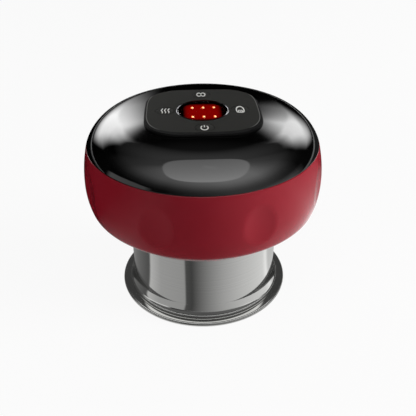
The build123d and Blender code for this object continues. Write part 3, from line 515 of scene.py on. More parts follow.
ring = 1.22
ring_gap = 38
loop = 0.8
loop_spread = 0.97 * loop
print_pieces = [
    pictogram("print_power", "power_key", [
        ((ring * sin(radians(ring_gap)), ring * cos(radians(ring_gap))), -ring_gap,
         [(ring, 2 * ring_gap - 360)]),
        ((0, 0.25), 90, [1.15]),
    ], stretch=1.5),
    pictogram("print_heat", "heat_key", [
        ((x, -1.15), 40, [(0.62, 100), (0.62, -100), (0.62, 50)]) for x in (-1.15, 0.05, 1.25)
    ], width=0.34, stretch=1.8),
    pictogram("print_mode", "mode_key", [
        ((side * loop_spread, -loop), 0, [(loop, 360)]) for side in (-1, 1)
    ], width=0.36),
    pictogram("print_cup", "suction_key", [
        ((0, -1.25), 180, [0.75, (0.6, -90), 0.55, (1.35, -180), 0.55, (0.6, -90), 0.75]),
        ((-0.72, -1.15), 90, [0.35, (0.36, -180), 0.35]),
        ((0.0, -1.15), 90, [0.35, (0.36, -180), 0.35]),
    ]),
]
print("pictograms:", [piece.name for piece in print_pieces])

# %% [markdown]
# ## Writing materials
# Each material is made for one real finish. One function adds a node to a shader tree with
# its settings and links, and one turns a colour as a screen shows it into the linear values
# that Blender computes with. The others make what several materials need.

# %% Material helpers
def linear(colour):
    """Linear values of an sRGB colour such as "#7E1A28"."""
    parts = [int(colour[place:place + 2], 16) / 255 for place in (1, 3, 5)]
    return [part / 12.92 if part <= 0.04045 else ((part + 0.055) / 1.055)**2.4
            for part in parts] + [1]


def feed(tree, node, links):
    """Feeds inputs, by name or in order, with numbers, colours, sockets or whole nodes."""
    for key, value in links.items() if isinstance(links, dict) else enumerate(links):
        if isinstance(value, bpy.types.Node):
            value = value.outputs[0]
        if isinstance(value, bpy.types.NodeSocket):
            tree.links.new(value, node.inputs[key])
        else:
            node.inputs[key].default_value = value


def add(tree, kind, links=(), stops=None, **settings):
    """Adds a node, feeds its inputs, and sets the stops of a ramp as places and tones."""
    node = tree.nodes.new("ShaderNode" + kind)
    for key, value in settings.items():
        setattr(node, key, value)
    feed(tree, node, links)
    if stops:
        ramp = node.color_ramp
        while len(ramp.elements) < len(stops):
            ramp.elements.new(0.5)
        for element, (place, colour) in zip(ramp.elements, stops):
            element.position = place
        for element, (place, colour) in zip(ramp.elements, stops):
            element.color = colour if isinstance(colour, list) else [colour] * 3 + [1]
    return node


def new_finish(name, colour, roughness, metallic=0.0, **constants):
    """A material with its principled shader. Other sockets are set by their own names."""
    material = bpy.data.materials.new(name)
    material.use_nodes = True
    tree = material.node_tree
    shader = tree.nodes["Principled BSDF"]
    feed(tree, shader, {"Base Color": linear(colour), "Roughness": roughness,
                        "Metallic": metallic})
    feed(tree, shader, {key.replace("_", " "): value for key, value in constants.items()})
    return material, tree, shader


def object_place(tree):
    """The place on the object, in metres."""
    return add(tree, "TexCoord").outputs["Object"]


def object_parts(tree):
    """The same place as its parts X, Y and Z."""
    return add(tree, "SeparateXYZ", {"Vector": object_place(tree)}).outputs


def grained(tree, shader, grain, depth):
    """Fine relief from the mould or the spray gun: grain size and depth in millimetres."""
    noise = add(tree, "TexNoise", {"Vector": object_place(tree), "Scale": 1 / (grain * MM),
                                   "Detail": 2.0}, noise_dimensions="4D")
    bump = add(tree, "Bump", {"Height": noise, "Distance": depth * MM, "Strength": 1.0})
    feed(tree, shader, {"Normal": bump})


def varied(tree, shader, value, first, last, colours, roughnesses):
    """Lets colour and roughness follow the value, from its first to its last level."""
    tint = add(tree, "ValToRGB", {"Fac": value},
               stops=[(first, linear(colours[0])), (last, linear(colours[1]))])
    gloss = add(tree, "MapRange", {"Value": value, "From Min": first, "From Max": last,
                                   "To Min": roughnesses[0], "To Max": roughnesses[1]})
    feed(tree, shader, {"Base Color": tint, "Roughness": gloss})


def clouded(tree, shader, patch, colours, roughnesses):
    """Slow change of colour and roughness over patches of the given size in millimetres."""
    noise = add(tree, "TexNoise", {"Vector": object_place(tree), "Scale": 1 / (patch * MM),
                                   "Detail": 3.0}, noise_dimensions="4D")
    varied(tree, shader, noise, 0.35, 0.65, colours, roughnesses)


def rounded_square(tree, places, centres, halves, power):
    """A measure that is 1 on the edge of a square with round corners, and less inside it."""
    parts = []
    for place, centre, half in zip(places, centres, halves):
        part = add(tree, "Math", [place, centre], operation="SUBTRACT")
        part = add(tree, "Math", [part, half], operation="DIVIDE")
        part = add(tree, "Math", [part], operation="ABSOLUTE")
        parts.append(add(tree, "Math", [part, power], operation="POWER"))
    return add(tree, "Math", [parts[0], parts[1]], operation="ADD")


print("material helpers ready")

# %% [markdown]
# ## Red lacquer
# The shell and its base are ABS, sprayed with a dark red satin lacquer. Such a coat has a
# body colour under a soft gloss, and a very shallow orange peel of about a millimetre that
# keeps its highlights from looking like glass.

# %% Red lacquer
red_lacquer, tree, shader = new_finish("satin_red_lacquer", "#861925", 0.12,
                                       IOR=1.4, Specular_IOR_Level=0.2)
clouded(tree, shader, 9.0, ("#851824", "#871926"), (0.11, 0.14))
grained(tree, shader, 1.1, 0.002)
print(red_lacquer.name)

# %% [markdown]
# ## Black gloss
# The dome is painted black and lacquered to a mirror gloss. Nearly all that shows of it is
# what it reflects, so its own colour is close to nothing and its roughness is tiny, with
# faint hazy patches from handling.

# %% Black gloss
black_gloss, tree, shader = new_finish("piano_black_lacquer", "#050505", 0.05, IOR=1.5)
clouded(tree, shader, 14.0, ("#040404", "#060606"), (0.045, 0.065))
print(black_gloss.name)

# %% [markdown]
# ## Panel and keys
# The control panel and its keys are smoke-black polycarbonate with a fine matte texture
# from a blasted mould. The matte face scatters light evenly, so it looks dark grey next to
# the black dome. Its real grain is too fine to show, so it is drawn about 0.35 mm wide. The
# face ends in a rounded square, with a painted highlight, a fine light line, on its left and
# right, and the border outside it is left black. The pictograms are white ink from a printing
# pad, which lies as a thin matte film of slightly uneven tone.

# %% Panel and keys
matte_centre = (0, 1.3 * MM)
matte_half = (20.2 * MM, 20.3 * MM)
matte_corner = 3.4

panel_smoke, tree, shader = new_finish("matte_smoke_polycarbonate", "#2B2B29", 0.6,
                                       IOR=1.5, Specular_IOR_Level=0.03)
clouded(tree, shader, 6.0, ("#282826", "#2B2B29"), (0.56, 0.64))
grained(tree, shader, 0.35, 0.004)
smoke = shader.inputs["Base Color"].links[0].from_socket
parts = object_parts(tree)
square = rounded_square(tree, (parts["X"], parts["Y"]), matte_centre, matte_half, matte_corner)
inside = add(tree, "MapRange", {"Value": square, "From Min": 1.03, "From Max": 1.0})
zones = add(tree, "MixRGB", {"Fac": inside, "Color1": linear("#060606"), "Color2": smoke})
# A fine light line at the left and right of the face's edge is a painted highlight, where a bevel
# would catch light.
half = add(tree, "Math", [square, 0.5], operation="MULTIPLY")
painted_highlight_line = add(tree, "ValToRGB", {"Fac": half},
           stops=[(0.49, 0.0), (0.505, 1.0), (0.515, 1.0), (0.53, 0.0)])
side = add(tree, "Math", [parts["X"]], operation="ABSOLUTE")
painted_highlight_sides = add(tree, "MapRange", {"Value": side, "From Min": 15 * MM, "From Max": 18 * MM})
painted_highlight_line = add(tree, "Math", [painted_highlight_line, painted_highlight_sides], operation="MULTIPLY")
zones = add(tree, "MixRGB", {"Fac": painted_highlight_line, "Color1": zones, "Color2": linear("#6C6C6A")})
feed(tree, shader, {"Base Color": zones})

printed_white, tree, shader = new_finish("pad_printed_white_ink", "#E9E9E4", 0.5, IOR=1.5)
clouded(tree, shader, 0.6, ("#E2E2DD", "#EDEDE9"), (0.45, 0.6))
print(panel_smoke.name, printed_white.name)

# %% [markdown]
# ## Polished ring and window
# The ring is ABS, plated with dark chrome. Its front and back are painted a deep red instead
# of chrome, so that it shines only at its left and right, as the photograph shows it: painted
# shade, tinted by the red light of the lamps. The window is clear polycarbonate with a smoky
# tint: it lets the light of the lamps through and hides all that is dark below it.

# %% Polished ring and window
painted_red_until = 5.5
chrome_from = 8.0

bezel_chrome, tree, shader = new_finish("dark_chrome_plating", "#5A5A5D", 0.08, 1.0)
clouded(tree, shader, 2.0, ("#565659", "#5E5E61"), (0.06, 0.1))
chrome = shader.inputs["Base Color"].links[0].from_socket
# The front and back of the ring are painted deep red instead of chrome: painted shade, tinted by
# the red light of the lamps.
aside = add(tree, "Math", [object_parts(tree)["X"]], operation="ABSOLUTE")
painted_red_fade = add(tree, "MapRange", {"Value": aside, "From Min": painted_red_until * MM,
                                "From Max": chrome_from * MM})
chrome_with_painted_red = add(tree, "MixRGB", {"Fac": painted_red_fade, "Color1": linear("#1A0605"), "Color2": chrome})
feed(tree, shader, {"Base Color": chrome_with_painted_red})

lens_smoke, tree, shader = new_finish("smoked_clear_polycarbonate", "#A8A2A2", 0.02,
                                      IOR=1.58, Transmission_Weight=1.0)
clouded(tree, shader, 5.0, ("#A6A0A0", "#AAA4A4"), (0.015, 0.03))
print(bezel_chrome.name, lens_smoke.name)

# %% [markdown]
# ## Indicator lamps
# Six lamps shine through the window. Each has a hot orange point in a red bulb. The red block
# round them is no lamp: a soft square of painted glow on it stands in for the light of the
# lamps falling on it. The pattern follows the distance to the nearest lamp: rounding finds
# its column, and the two rows lie alike before and behind the middle. The hot points sit a
# little to the right and the front, as in the photograph.

# %% Indicator lamps
lamp_pitch = 4.0
lamp_row = 4.2
hot_right = 0.5
hot_front = 0.45
block_half = (6.9 * MM, 7.4 * MM)
block_corner = 5.0

led_red, tree, shader = new_finish("lit_red_lamp", "#300403", 0.6, Specular_IOR_Level=0.0)
parts = object_parts(tree)
shifted = add(tree, "Math", [parts["X"], hot_right * MM], operation="SUBTRACT")
column = add(tree, "Math", [shifted, lamp_pitch * MM], operation="DIVIDE")
nearest = add(tree, "Math", [column], operation="ROUND")
aside = add(tree, "Math", [column, nearest], operation="SUBTRACT")
aside = add(tree, "Math", [aside, lamp_pitch], operation="MULTIPLY")
depth = add(tree, "Math", [parts["Y"], hot_front * MM], operation="ADD")
depth = add(tree, "Math", [depth], operation="ABSOLUTE")
depth = add(tree, "Math", [depth, 1 / MM, -lamp_row], operation="MULTIPLY_ADD")
offset = add(tree, "CombineXYZ", {"X": aside, "Y": depth})
distance = add(tree, "VectorMath", [offset], operation="LENGTH").outputs["Value"]
glow = add(tree, "ValToRGB", {"Fac": distance},
           stops=[(0.0, linear("#FFD9A8")), (0.45, linear("#FFB070")), (0.7, linear("#FF3A10")),
                  (1.0, linear("#B00804"))])
power = add(tree, "MapRange", {"Value": distance, "From Min": 0.35, "From Max": 1.0,
                               "To Min": 7.0, "To Max": 1.0})
feed(tree, shader, {"Emission Color": glow, "Emission Strength": power})

# The block is no lamp: its glow is painted light, standing in for the lamps' light falling on it.
baffle_red, tree, shader = new_finish("red_block_painted_glow", "#2A0302", 0.8,
                                      Specular_IOR_Level=0.0)
parts = object_parts(tree)
square = rounded_square(tree, (parts["X"], parts["Y"]), (0, 0), block_half, block_corner)
shine = add(tree, "MapRange", {"Value": square, "From Min": 0.0, "From Max": 1.2,
                               "To Min": 0.7, "To Max": 0.0}, interpolation_type="SMOOTHSTEP")
feed(tree, shader, {"Emission Color": linear("#FF0C08"), "Emission Strength": shine})
print(led_red.name, baffle_red.name)

# %% [markdown]
# ## Turned metal
# The cup is aluminium, turned and polished on a lathe. The tool leaves fine grooves round
# the axis, which spread each reflection up and down into vertical bands. An anisotropic
# shader with its tangent round the axis does the same, and faint rings vary its colour and
# its roughness. Real grooves are too fine to show, so the rings are half a millimetre wide.

# %% Turned metal
cup_metal, tree, shader = new_finish("turned_polished_aluminium", "#C9C9C7", 0.07, 1.0,
                                     Anisotropic=0.4)
tangent = add(tree, "Tangent", direction_type="RADIAL", axis="Z")
groove = add(tree, "Mapping", {"Vector": object_place(tree), "Scale": (0, 0, 1)})
rings = add(tree, "TexNoise", {"Vector": groove, "Scale": 1 / (0.5 * MM), "Detail": 3.0})
varied(tree, shader, rings, 0.3, 0.7, ("#C4C4C2", "#CDCDCB"), (0.055, 0.085))
feed(tree, shader, {"Tangent": tangent})
print(cup_metal.name)

# %% [markdown]
# ## Finishes inside the housing
# The inner parts are ordinary materials: moulded plastics with a fine grain, steel and
# rubber. One table lists what each is, and one loop makes them. Their real grain is finer
# than a render shows, so it is drawn a few tenths of a millimetre wide.

# %% Finishes inside the housing
plain_finishes = {
    # slot: name, two colours, two roughnesses, patch mm, grain mm, grain depth mm, metallic
    "seal_rubber": ("moulded_black_rubber", ("#161616", "#1E1E1D"), (0.6, 0.75), 3, 0.3, 0.01, 0),
    "socket_black": ("moulded_black_abs", ("#121213", "#19191A"), (0.35, 0.5), 5, 0.4, 0.006, 0),
    "heat_metal": ("brushed_stainless_steel", ("#A9A7A3", "#BBB9B5"), (0.25, 0.4),
                   2, 0.2, 0.002, 1),
    "light_red": ("translucent_red_polycarbonate", ("#8E0E0A", "#A3120D"), (0.2, 0.3),
                  4, 0.5, 0.004, 0),
    "lamp_white": ("white_lamp_housing", ("#DCD9C8", "#E8E5D6"), (0.3, 0.45), 1, 0.2, 0.004, 0),
    "switch_black": ("black_nylon", ("#17171A", "#222226"), (0.4, 0.55), 3, 0.3, 0.006, 0),
    "steel": ("zinc_plated_steel", ("#9B9C9E", "#B4B5B7"), (0.22, 0.4), 3, 0.25, 0.003, 1),
    "frame_white": ("moulded_white_abs", ("#D5D5D0", "#DEDEDA"), (0.4, 0.5), 8, 0.5, 0.006, 0),
    "pump_white": ("moulded_natural_nylon", ("#CFCBBE", "#DAD7CC"), (0.35, 0.5), 5, 0.5, 0.006, 0),
    "filter_cap": ("moulded_grey_abs", ("#3A3B3D", "#444548"), (0.4, 0.5), 4, 0.4, 0.006, 0),
}
finishes = dict(red_lacquer=red_lacquer, black_gloss=black_gloss, panel_smoke=panel_smoke,
                key_smoke=panel_smoke, bezel_chrome=bezel_chrome, lens_smoke=lens_smoke,
                led_red=led_red, baffle_red=baffle_red, cup_metal=cup_metal)
for slot, (name, colours, roughnesses, patch, grain, relief, metallic) in plain_finishes.items():
    finishes[slot], tree, shader = new_finish(name, colours[0], roughnesses[0], metallic)
    clouded(tree, shader, patch, colours, roughnesses)
    grained(tree, shader, grain, relief)
print("inner finishes:", len(plain_finishes))

# %% [markdown]
# ## Boards, cell, hoses and foam
# Green solder mask with copper tracks under it and the open pores of the filter foam need
# patterns of their own. The shrink wrap of the cell is glossy with soft waves, and the hoses
# are milky silicone, which lets light through.

# %% Boards, cell, hoses and foam
board_green, tree, shader = new_finish("green_solder_mask", "#0E4A26", 0.3, IOR=1.5)
tracks = add(tree, "TexBrick", {"Vector": object_place(tree), "Scale": 1.0,
                                "Color1": linear("#0D4523"), "Color2": linear("#0F5029"),
                                "Mortar": linear("#2C7A3F"), "Mortar Size": 0.25 * MM,
                                "Brick Width": 5.2 * MM, "Row Height": 1.3 * MM})
relief = add(tree, "Bump", {"Height": tracks.outputs["Fac"], "Distance": 0.03 * MM,
                            "Strength": 1.0})
feed(tree, shader, {"Base Color": tracks, "Normal": relief})

cell_wrap, tree, shader = new_finish("blue_shrink_wrap", "#1B4E9B", 0.3, IOR=1.5)
clouded(tree, shader, 12.0, ("#1A4A94", "#1E54A4"), (0.22, 0.34))
grained(tree, shader, 4.0, 0.02)

silicone, tree, shader = new_finish("milky_silicone_rubber", "#D8DAD9", 0.35, IOR=1.41,
                                    Subsurface_Weight=0.6, Subsurface_Scale=1.5 * MM)
clouded(tree, shader, 5.0, ("#D2D5D4", "#DEE0DF"), (0.3, 0.42))
grained(tree, shader, 0.8, 0.01)

filter_foam, tree, shader = new_finish("open_cell_foam", "#8E9194", 0.95)
pores = add(tree, "TexVoronoi", {"Vector": object_place(tree), "Scale": 1 / (0.5 * MM)})
# The pores are painted darker than the struts between them: painted shade in the holes.
tint = add(tree, "ValToRGB", {"Fac": pores},
           stops=[(0.1, linear("#4A4C4F")), (0.5, linear("#A4A7AA"))])
relief = add(tree, "Bump", {"Height": pores, "Distance": 0.2 * MM, "Strength": 1.0})
feed(tree, shader, {"Base Color": tint, "Normal": relief})

finishes.update(board_green=board_green, cell_wrap=cell_wrap, silicone=silicone,
                filter_foam=filter_foam)
print("all finishes:", len(finishes))

# %% [markdown]
# ## Giving each part its finish
# A piece takes the finish of the CAD node that it stands for, and each CAD node takes it in
# its own slot as well, so that no part is left with a plain colour.

# %% Giving each part its finish
for piece in [dome, shell, cup, bezel, lens] + list(smooth_parts.values()):
    piece.data.materials.clear()
    piece.data.materials.append(finishes[piece["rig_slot"]])
for piece in print_pieces:
    piece.data.materials.append(printed_white)
for name, node in nodes.items():
    node.material_slots[0].material = finishes[slot_of_node[name]]
print("parts dressed:", len(nodes))

# %% [markdown]
# ## Floor and room
# The object stands on a plain white floor. It is lit as brightly as white paper, and to
# the camera, in a mirror and through the window most of it shines by itself, so that it
# comes out pure white while the contact shadow stays. The room is white to those same rays,
# and dim to all others.

# %% Floor and room
floor_size = 4.0
own_light = 0.92
room_light = 0.12
WHITE = (1, 1, 1, 1)


def bare_material(piece, name):
    """Gives the piece a new material, and returns its empty shader tree."""
    material = bpy.data.materials.new(name)
    material.use_nodes = True
    material.node_tree.nodes.clear()
    piece.data.materials.append(material)
    return material.node_tree


def seen_sharply(tree):
    """One for rays to the camera, from a mirror or through the window, and nought for others."""
    rays = add(tree, "LightPath").outputs
    seen = add(tree, "Math", [rays["Is Camera Ray"], rays["Is Glossy Ray"]], operation="MAXIMUM")
    return add(tree, "Math", [seen, rays["Is Transmission Ray"]], operation="MAXIMUM")


bm = bmesh.new()
bmesh.ops.create_grid(bm, x_segments=1, y_segments=1, size=floor_size)
floor = mesh_piece(bm, "floor")

tree = bare_material(floor, "matte_white_floor")
share = add(tree, "Math", [seen_sharply(tree), own_light], operation="MULTIPLY")
paper = add(tree, "BsdfDiffuse", {"Color": linear("#FAFAFA")})
shine = add(tree, "Emission", {"Color": WHITE, "Strength": 1.0})
mixed = add(tree, "MixShader", {"Fac": share, 1: paper, 2: shine})
add(tree, "OutputMaterial", {"Surface": mixed})

world = bpy.data.worlds.new("white_room")
scene.world = world
world.use_nodes = True
tree = world.node_tree
tree.nodes.clear()
level = add(tree, "MapRange", {"Value": seen_sharply(tree), "To Min": room_light, "To Max": 1.0})
room = add(tree, "Background", {"Color": WHITE, "Strength": level})
add(tree, "OutputWorld", {"Surface": room})
print("floor and room ready")

# %% [markdown]
# ## Levels along a bearing or a height
# The reflections come from patterns of light on stage pieces. A pattern is worked out from
# the bearing, in degrees from the front and positive to the right, and from the height, in
# degrees above the level. A short table says how bright it is along either of them.

# %% Levels along a bearing or a height
ALL_ROUND = (-180, 180)
UP_TO_ZENITH = (0, 90)
IN_DEGREES = 180 / pi


def bearing_of(tree, parts, centre=0.0):
    """The bearing from a point on the middle line, and how far forward of it a place is."""
    forward = add(tree, "Math", [parts["Y"], -1.0, centre], operation="MULTIPLY_ADD")
    bearing = add(tree, "Math", [parts["X"], forward], operation="ARCTAN2")
    return add(tree, "Math", [bearing, IN_DEGREES], operation="MULTIPLY"), forward


def level_along(tree, value, span, stops):
    """A level that follows the stops, each a place within the span and a level there."""
    first, last = span
    share = add(tree, "MapRange", {"Value": value, "From Min": first, "From Max": last})
    top = max(level for place, level in stops)
    curve = add(tree, "ValToRGB", {"Fac": share},
                stops=[((place - first) / (last - first), level / top) for place, level in stops])
    return add(tree, "Math", [curve, top], operation="MULTIPLY")


def glowing(tree, colour, strength):
    """Makes the material shine by itself, and do nothing else."""
    light = add(tree, "Emission", {"Color": colour, "Strength": strength})
    add(tree, "OutputMaterial", {"Surface": light})


def hide_from(piece, *rays):
    for ray in rays:
        setattr(piece, "visible_" + ray, False)


print("level helpers ready")

# %% [markdown]
# ## Light tent
# What a glossy dome shows is its surroundings. In the photograph these are a dark room with
# a broad soft glow in front, a lamp panel overhead and two softboxes behind, to the left
# and right. A large half sphere round the scene carries them as a painted pattern of light.
# Only mirror-like rays and those through the window see it, so it adds no light to matte
# surfaces, which the plain lamps light.

# %% Light tent
stage_turn = radians(-2.3)
tent_radius = 2.0
tent_height = 0.07

bm = bmesh.new()
bmesh.ops.create_uvsphere(bm, u_segments=64, v_segments=32, radius=tent_radius)
bmesh.ops.bisect_plane(bm, geom=bm.verts[:] + bm.edges[:] + bm.faces[:],
                       plane_co=(0, 0, -tent_height), plane_no=(0, 0, -1), clear_outer=True)
tent = mesh_piece(bm, "light_tent")
tent.rotation_euler.z = stage_turn
tent.location.z = tent_height
hide_from(tent, "camera", "diffuse", "volume_scatter", "shadow")

tree = bare_material(tent, "light_tent_glow")
unit = add(tree, "VectorMath", [object_place(tree)], operation="NORMALIZE")
parts = add(tree, "SeparateXYZ", {"Vector": unit}).outputs
bearing, forward = bearing_of(tree, parts)
rise = add(tree, "Math", [parts["Z"]], operation="ARCSINE")
rise = add(tree, "Math", [rise, IN_DEGREES], operation="MULTIPLY")

# The faint glow behind, the broad one in front and a second one that leans to the right
far = add(tree, "Math", [bearing], operation="ABSOLUTE")
behind_side = add(tree, "MapRange", {"Value": far, "From Min": 85.0, "From Max": 115.0})
behind_height = level_along(tree, rise, UP_TO_ZENITH, [(33, 0), (45, 0.17), (65, 0.55)])
total = add(tree, "Math", [behind_height, behind_side], operation="MULTIPLY")
front_glow = ([(8, 0.03), (17, 0.05), (25, 0.25), (32, 0.7), (42, 1.5), (60, 2.1), (80, 2.6)],
              [(-115, 0), (-90, 0.25), (-70, 0.65), (-45, 1), (60, 1), (90, 0.4), (120, 0)])
right_glow = ([(4, 0.5), (20, 0.7), (32, 1.25), (40, 1.4), (80, 0.6)],
              [(-35, 0), (5, 0.5), (25, 0.9), (40, 1), (60, 0.85), (80, 0.35), (100, 0)])
for heights, sides in (front_glow, right_glow):
    height = level_along(tree, rise, UP_TO_ZENITH, heights)
    side = level_along(tree, bearing, ALL_ROUND, sides)
    total = add(tree, "Math", [height, side, total], operation="MULTIPLY_ADD")

# The overhead lamp panel, an egg shape as seen on a ceiling at a height of one
egg_centre = (0.05, 0.31)
egg_half_depth = 0.66
egg_corner = 2.4
upward = add(tree, "Math", [parts["Z"], 0.05], operation="MAXIMUM")
across = add(tree, "Math", [parts["X"], upward], operation="DIVIDE")
ahead = add(tree, "Math", [forward, upward], operation="DIVIDE")
half = add(tree, "MapRange", {"Value": ahead, "From Min": -0.5, "From Max": 1.2,
                              "To Min": 0.36, "To Max": 0.84})
egg = rounded_square(tree, (across, ahead), egg_centre, (half, egg_half_depth), egg_corner)
patch = add(tree, "MapRange", {"Value": egg, "From Min": 0.9, "From Max": 1.1,
                               "To Min": 1.0, "To Max": 0.0}, interpolation_type="SMOOTHSTEP")
patch_level = add(tree, "MapRange", {"Value": ahead, "From Min": -0.35, "From Max": 0.9,
                                     "To Min": 1.9, "To Max": 4.6})
patch_level = add(tree, "Math", [across, 0.5, patch_level], operation="MULTIPLY_ADD")
patch = add(tree, "Math", [patch, patch_level], operation="MULTIPLY")
total = add(tree, "Math", [total, patch], operation="MAXIMUM")


def softbox(side, *tables):
    """A softbox behind the object, on the left (-1) or the right (1).

    Its tables tell for each height where its inner edge starts and is full, where its outer
    edge is full and ends, and its level.
    """
    start, inner, outer, end, light = [
        level_along(tree, rise, (-10, 60), table) for table in tables]
    around = add(tree, "Math", [bearing, side], operation="MULTIPLY")
    for dark, full in ((start, inner), (end, outer)):
        edge = add(tree, "MapRange", {"Value": around, "From Min": dark, "From Max": full},
                   interpolation_type="SMOOTHSTEP")
        light = add(tree, "Math", [light, edge], operation="MULTIPLY")
    return light


left_box = softbox(
    -1, [(1, 134), (19, 119), (37, 130)],
    [(1, 145), (13, 143), (28, 151), (37, 146)],
    [(1, 147), (7, 148), (18, 162), (26, 165), (37, 150)],
    [(1, 164), (7, 175), (25, 173), (37, 162)],
    [(0, 0), (4, 1.7), (13, 5), (25, 6.7), (30, 6), (35, 3.5), (40, 0)])
right_box = softbox(
    1, [(1, 134), (13, 119), (28, 116), (38, 121)],
    [(1, 142), (13, 138), (28, 145), (38, 143)],
    [(1, 143), (13, 138), (25, 165), (38, 149)],
    [(1, 155), (7, 159), (19, 174), (28, 172), (38, 162)],
    [(0, 0), (5, 1.5), (18, 5.8), (28, 7.1), (32, 6.8), (38, 2), (42, 0)])
lean = add(tree, "MapRange", {"Value": bearing, "From Min": 140.0, "From Max": 165.0,
                              "To Min": 1.0, "To Max": 0.78})

# A narrow crescent of light low on the left
left_end = add(tree, "MapRange", {"Value": bearing, "From Min": -97.0, "From Max": -91.0})
right_end = add(tree, "MapRange", {"Value": bearing, "From Min": -46.0, "From Max": -54.0})
ends = add(tree, "Math", [left_end, right_end], operation="MULTIPLY")
top = level_along(tree, bearing, (-100, -40),
                  [(-97, 7), (-88, 10), (-75, 13.5), (-64, 15), (-46, 14.5)])
below = add(tree, "Math", [rise, top], operation="SUBTRACT")
top_edge = add(tree, "MapRange", {"Value": below, "From Min": 0.5, "From Max": -0.5})
crescent = add(tree, "Math", [ends, top_edge], operation="MULTIPLY")

# A dim window low on the right
low_height = level_along(tree, rise, (0, 30), [(3, 0.8), (6, 0.55), (12, 0)])
low_side = level_along(tree, bearing, (0, 180), [(40, 0), (65, 0.9), (85, 0.9), (105, 0)])

lights = [(left_box, 1.0), (right_box, lean), (crescent, 0.9), (low_height, low_side)]
for level, share in lights:
    total = add(tree, "Math", [level, share, total], operation="MULTIPLY_ADD")
glowing(tree, WHITE, total)
print("light tent ready")

# %% [markdown]
# ## Low cards
# Metal needs something dark to reflect, or it looks like white plastic. Photographers lay
# grey and black cards round it, just outside the picture. Here one wide ring lies on the
# floor, and mirror-like rays alone see it. Its bands follow the bearing from a point inside
# the cup, where a round wall gathers the rays. Next to the rim they give way to a thin light
# ring, and a dark one round that.

# %% Low cards
card_start = 34.4
card_growth = 40
card_height = 0.2
card_centre = -14.6
rim_rings = [(2.6, 0.08), (0.8, 0.5)]
CARD_BANDS = [(-180, 0.05), (-125, 0.2), (-86, 0.09), (-83, 0.53), (-66, 0.38), (-29, 0.34),
              (-27, 0.08), (-18, 0.06), (30, 0.42), (60, 0.6), (94, 0.76), (101, 0.95),
              (107, 0.6), (130, 0.5), (150, 0.1), (180, 0.05)]


def ring_card(name, start, growth, height):
    """A level ring from a radius to its multiple, turned like the tent, for mirrors alone."""
    bm = bmesh.new()
    bmesh.ops.create_circle(bm, cap_ends=False, radius=start * MM, segments=128)
    spread = bmesh.ops.extrude_edge_only(bm, edges=bm.edges[:])
    bmesh.ops.scale(bm, verts=verts_of(spread["geom"]), vec=(growth, growth, 1))
    bmesh.ops.translate(bm, verts=bm.verts[:], vec=(0, 0, height * MM))
    bmesh.ops.recalc_face_normals(bm, faces=bm.faces[:])
    card = mesh_piece(bm, name)
    card.rotation_euler.z = stage_turn
    hide_from(card, "camera", "diffuse", "transmission", "volume_scatter", "shadow")
    return card


def from_mouth(tree):
    """The distance from the middle of the cup's mouth, in metres."""
    return add(tree, "VectorMath", [object_place(tree)], operation="LENGTH").outputs["Value"]


cards = ring_card("low_cards", card_start, card_growth, card_height)

tree = bare_material(cards, "grey_and_black_cards")
bearing = bearing_of(tree, object_parts(tree), card_centre * MM)[0]
bands = level_along(tree, bearing, ALL_ROUND, CARD_BANDS)
distance = from_mouth(tree)
for gap, tone in rim_rings:
    near = add(tree, "Math", [distance, (rim_radius + gap) * MM], operation="LESS_THAN")
    bands = add(tree, "MixRGB", {"Fac": near, "Color1": bands, "Color2": (tone, tone, tone, 1)})
glowing(tree, bands, 1.3)
print("low cards ready")

# %% [markdown]
# ## Collar card
# The flange of the cup is mostly dark on the photo, although the dome above it mirrors bright
# softboxes. So a card lies level round the neck of the cup, just under the shell, and hides
# the tent from the flange. It too shows in mirror-like rays alone. Its dark underside has one
# bright strip, which the foot of the cup mirrors as a line of light. Its upper side has
# broader, lighter bands, which the flank of the shell mirrors.

# %% Collar card
collar_gap = 0.5
collar_growth = 13
strip_span = (0, 100 * MM)
STRIP = [(55 * MM, 0), (57 * MM, 1), (64 * MM, 1), (66 * MM, 0)]
STRIP_FRONT = [(-93.6, 0), (-79.2, 1), (79.2, 1), (93.6, 0)]
COLLAR_BANDS = [(-180, 0.04), (-120, 0.03), (-60, 0.08), (0, 0.06), (60, 0.1), (120, 0.03),
                (180, 0.04)]
TOP_BANDS = [(-180, 0), (-72, 0), (-58, 0.1), (-40, 0.32), (-20, 0.14), (0, 0.14),
             (40, 0.55), (75, 0.7), (92, 0.35), (115, 0.02), (180, 0)]

collar_height = low("base_cover") - collar_gap
collar = ring_card("collar_card", cup_radius + 1.0, collar_growth, collar_height)

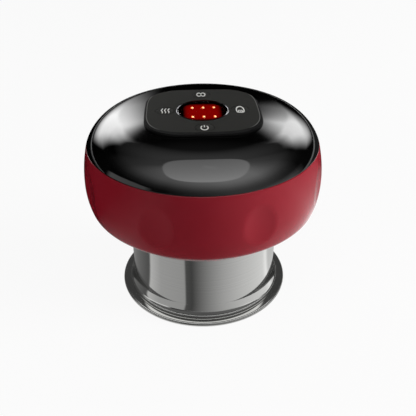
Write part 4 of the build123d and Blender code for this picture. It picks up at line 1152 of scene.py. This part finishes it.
tree = bare_material(collar, "dark_collar_card")
bearing = bearing_of(tree, object_parts(tree))[0]
strip = add(tree, "Math", [level_along(tree, from_mouth(tree), strip_span, STRIP),
                           level_along(tree, bearing, ALL_ROUND, STRIP_FRONT)],
            operation="MULTIPLY")
under = level_along(tree, bearing, ALL_ROUND, COLLAR_BANDS)
under = add(tree, "MixRGB", {"Fac": strip, "Color1": under, "Color2": (0.8, 0.8, 0.8, 1)})
upper = level_along(tree, bearing, ALL_ROUND, TOP_BANDS)
from_below = add(tree, "NewGeometry").outputs["Backfacing"]
tone = add(tree, "MixRGB", {"Fac": from_below, "Color1": upper, "Color2": under})
glowing(tree, tone, 2.0)
print("collar card at", collar_height, "upper side up:", collar.data.polygons[0].normal.z > 0)

# %% [markdown]
# ## Studio lamps
# Three large soft lamps light the matte surfaces: one overhead, one from the right and a
# weaker one from the left. They are hidden from mirror-like rays, which see the tent.

# %% Studio lamps
lamp_target = Vector((0, 0, 0.05))


def studio_lamp(name, place, size, power):
    """A square lamp that faces the object."""
    data = bpy.data.lights.new(name, "AREA")
    data.size = size
    data.energy = power
    lamp = bpy.data.objects.new(name, data)
    lamp.location = place
    lamp.rotation_euler = (lamp_target - Vector(place)).to_track_quat("-Z", "Y").to_euler()
    scene.collection.objects.link(lamp)
    hide_from(lamp, "camera", "glossy")


studio_lamp("overhead_lamp", (0, -0.1, 1.3), 1.4, 3.3)
studio_lamp("right_lamp", (1.15, -0.2, 0.25), 0.6, 20.0)
studio_lamp("left_lamp", (-1.0, -0.5, 0.25), 0.6, 3.6)
scene.view_settings.view_transform = "Standard"

# %% [markdown]
# ## Camera
# The camera looks from the front and about 30 degrees above the level, from close by, which
# gives the strong perspective. Its place is in millimetres and its turns are in degrees.

# %% Camera
camera_place = (-7.906, -196.832, 155.907)
camera_turns = ((-2.845, "Z"), (57.953, "X"), (-0.137, "Z"))

camera_data = bpy.data.cameras.new("photo_camera")
camera_data.lens = 50
camera_data.sensor_width = 36
camera_data.clip_start = 0.01
camera = bpy.data.objects.new("photo_camera", camera_data)
scene.collection.objects.link(camera)
matrix = Matrix.Translation(Vector(camera_place) * MM)
for angle, axis in camera_turns:
    matrix = matrix @ Matrix.Rotation(radians(angle), 4, axis)
camera.matrix_world = matrix
scene.camera = camera
print("camera at", camera.matrix_world.translation)
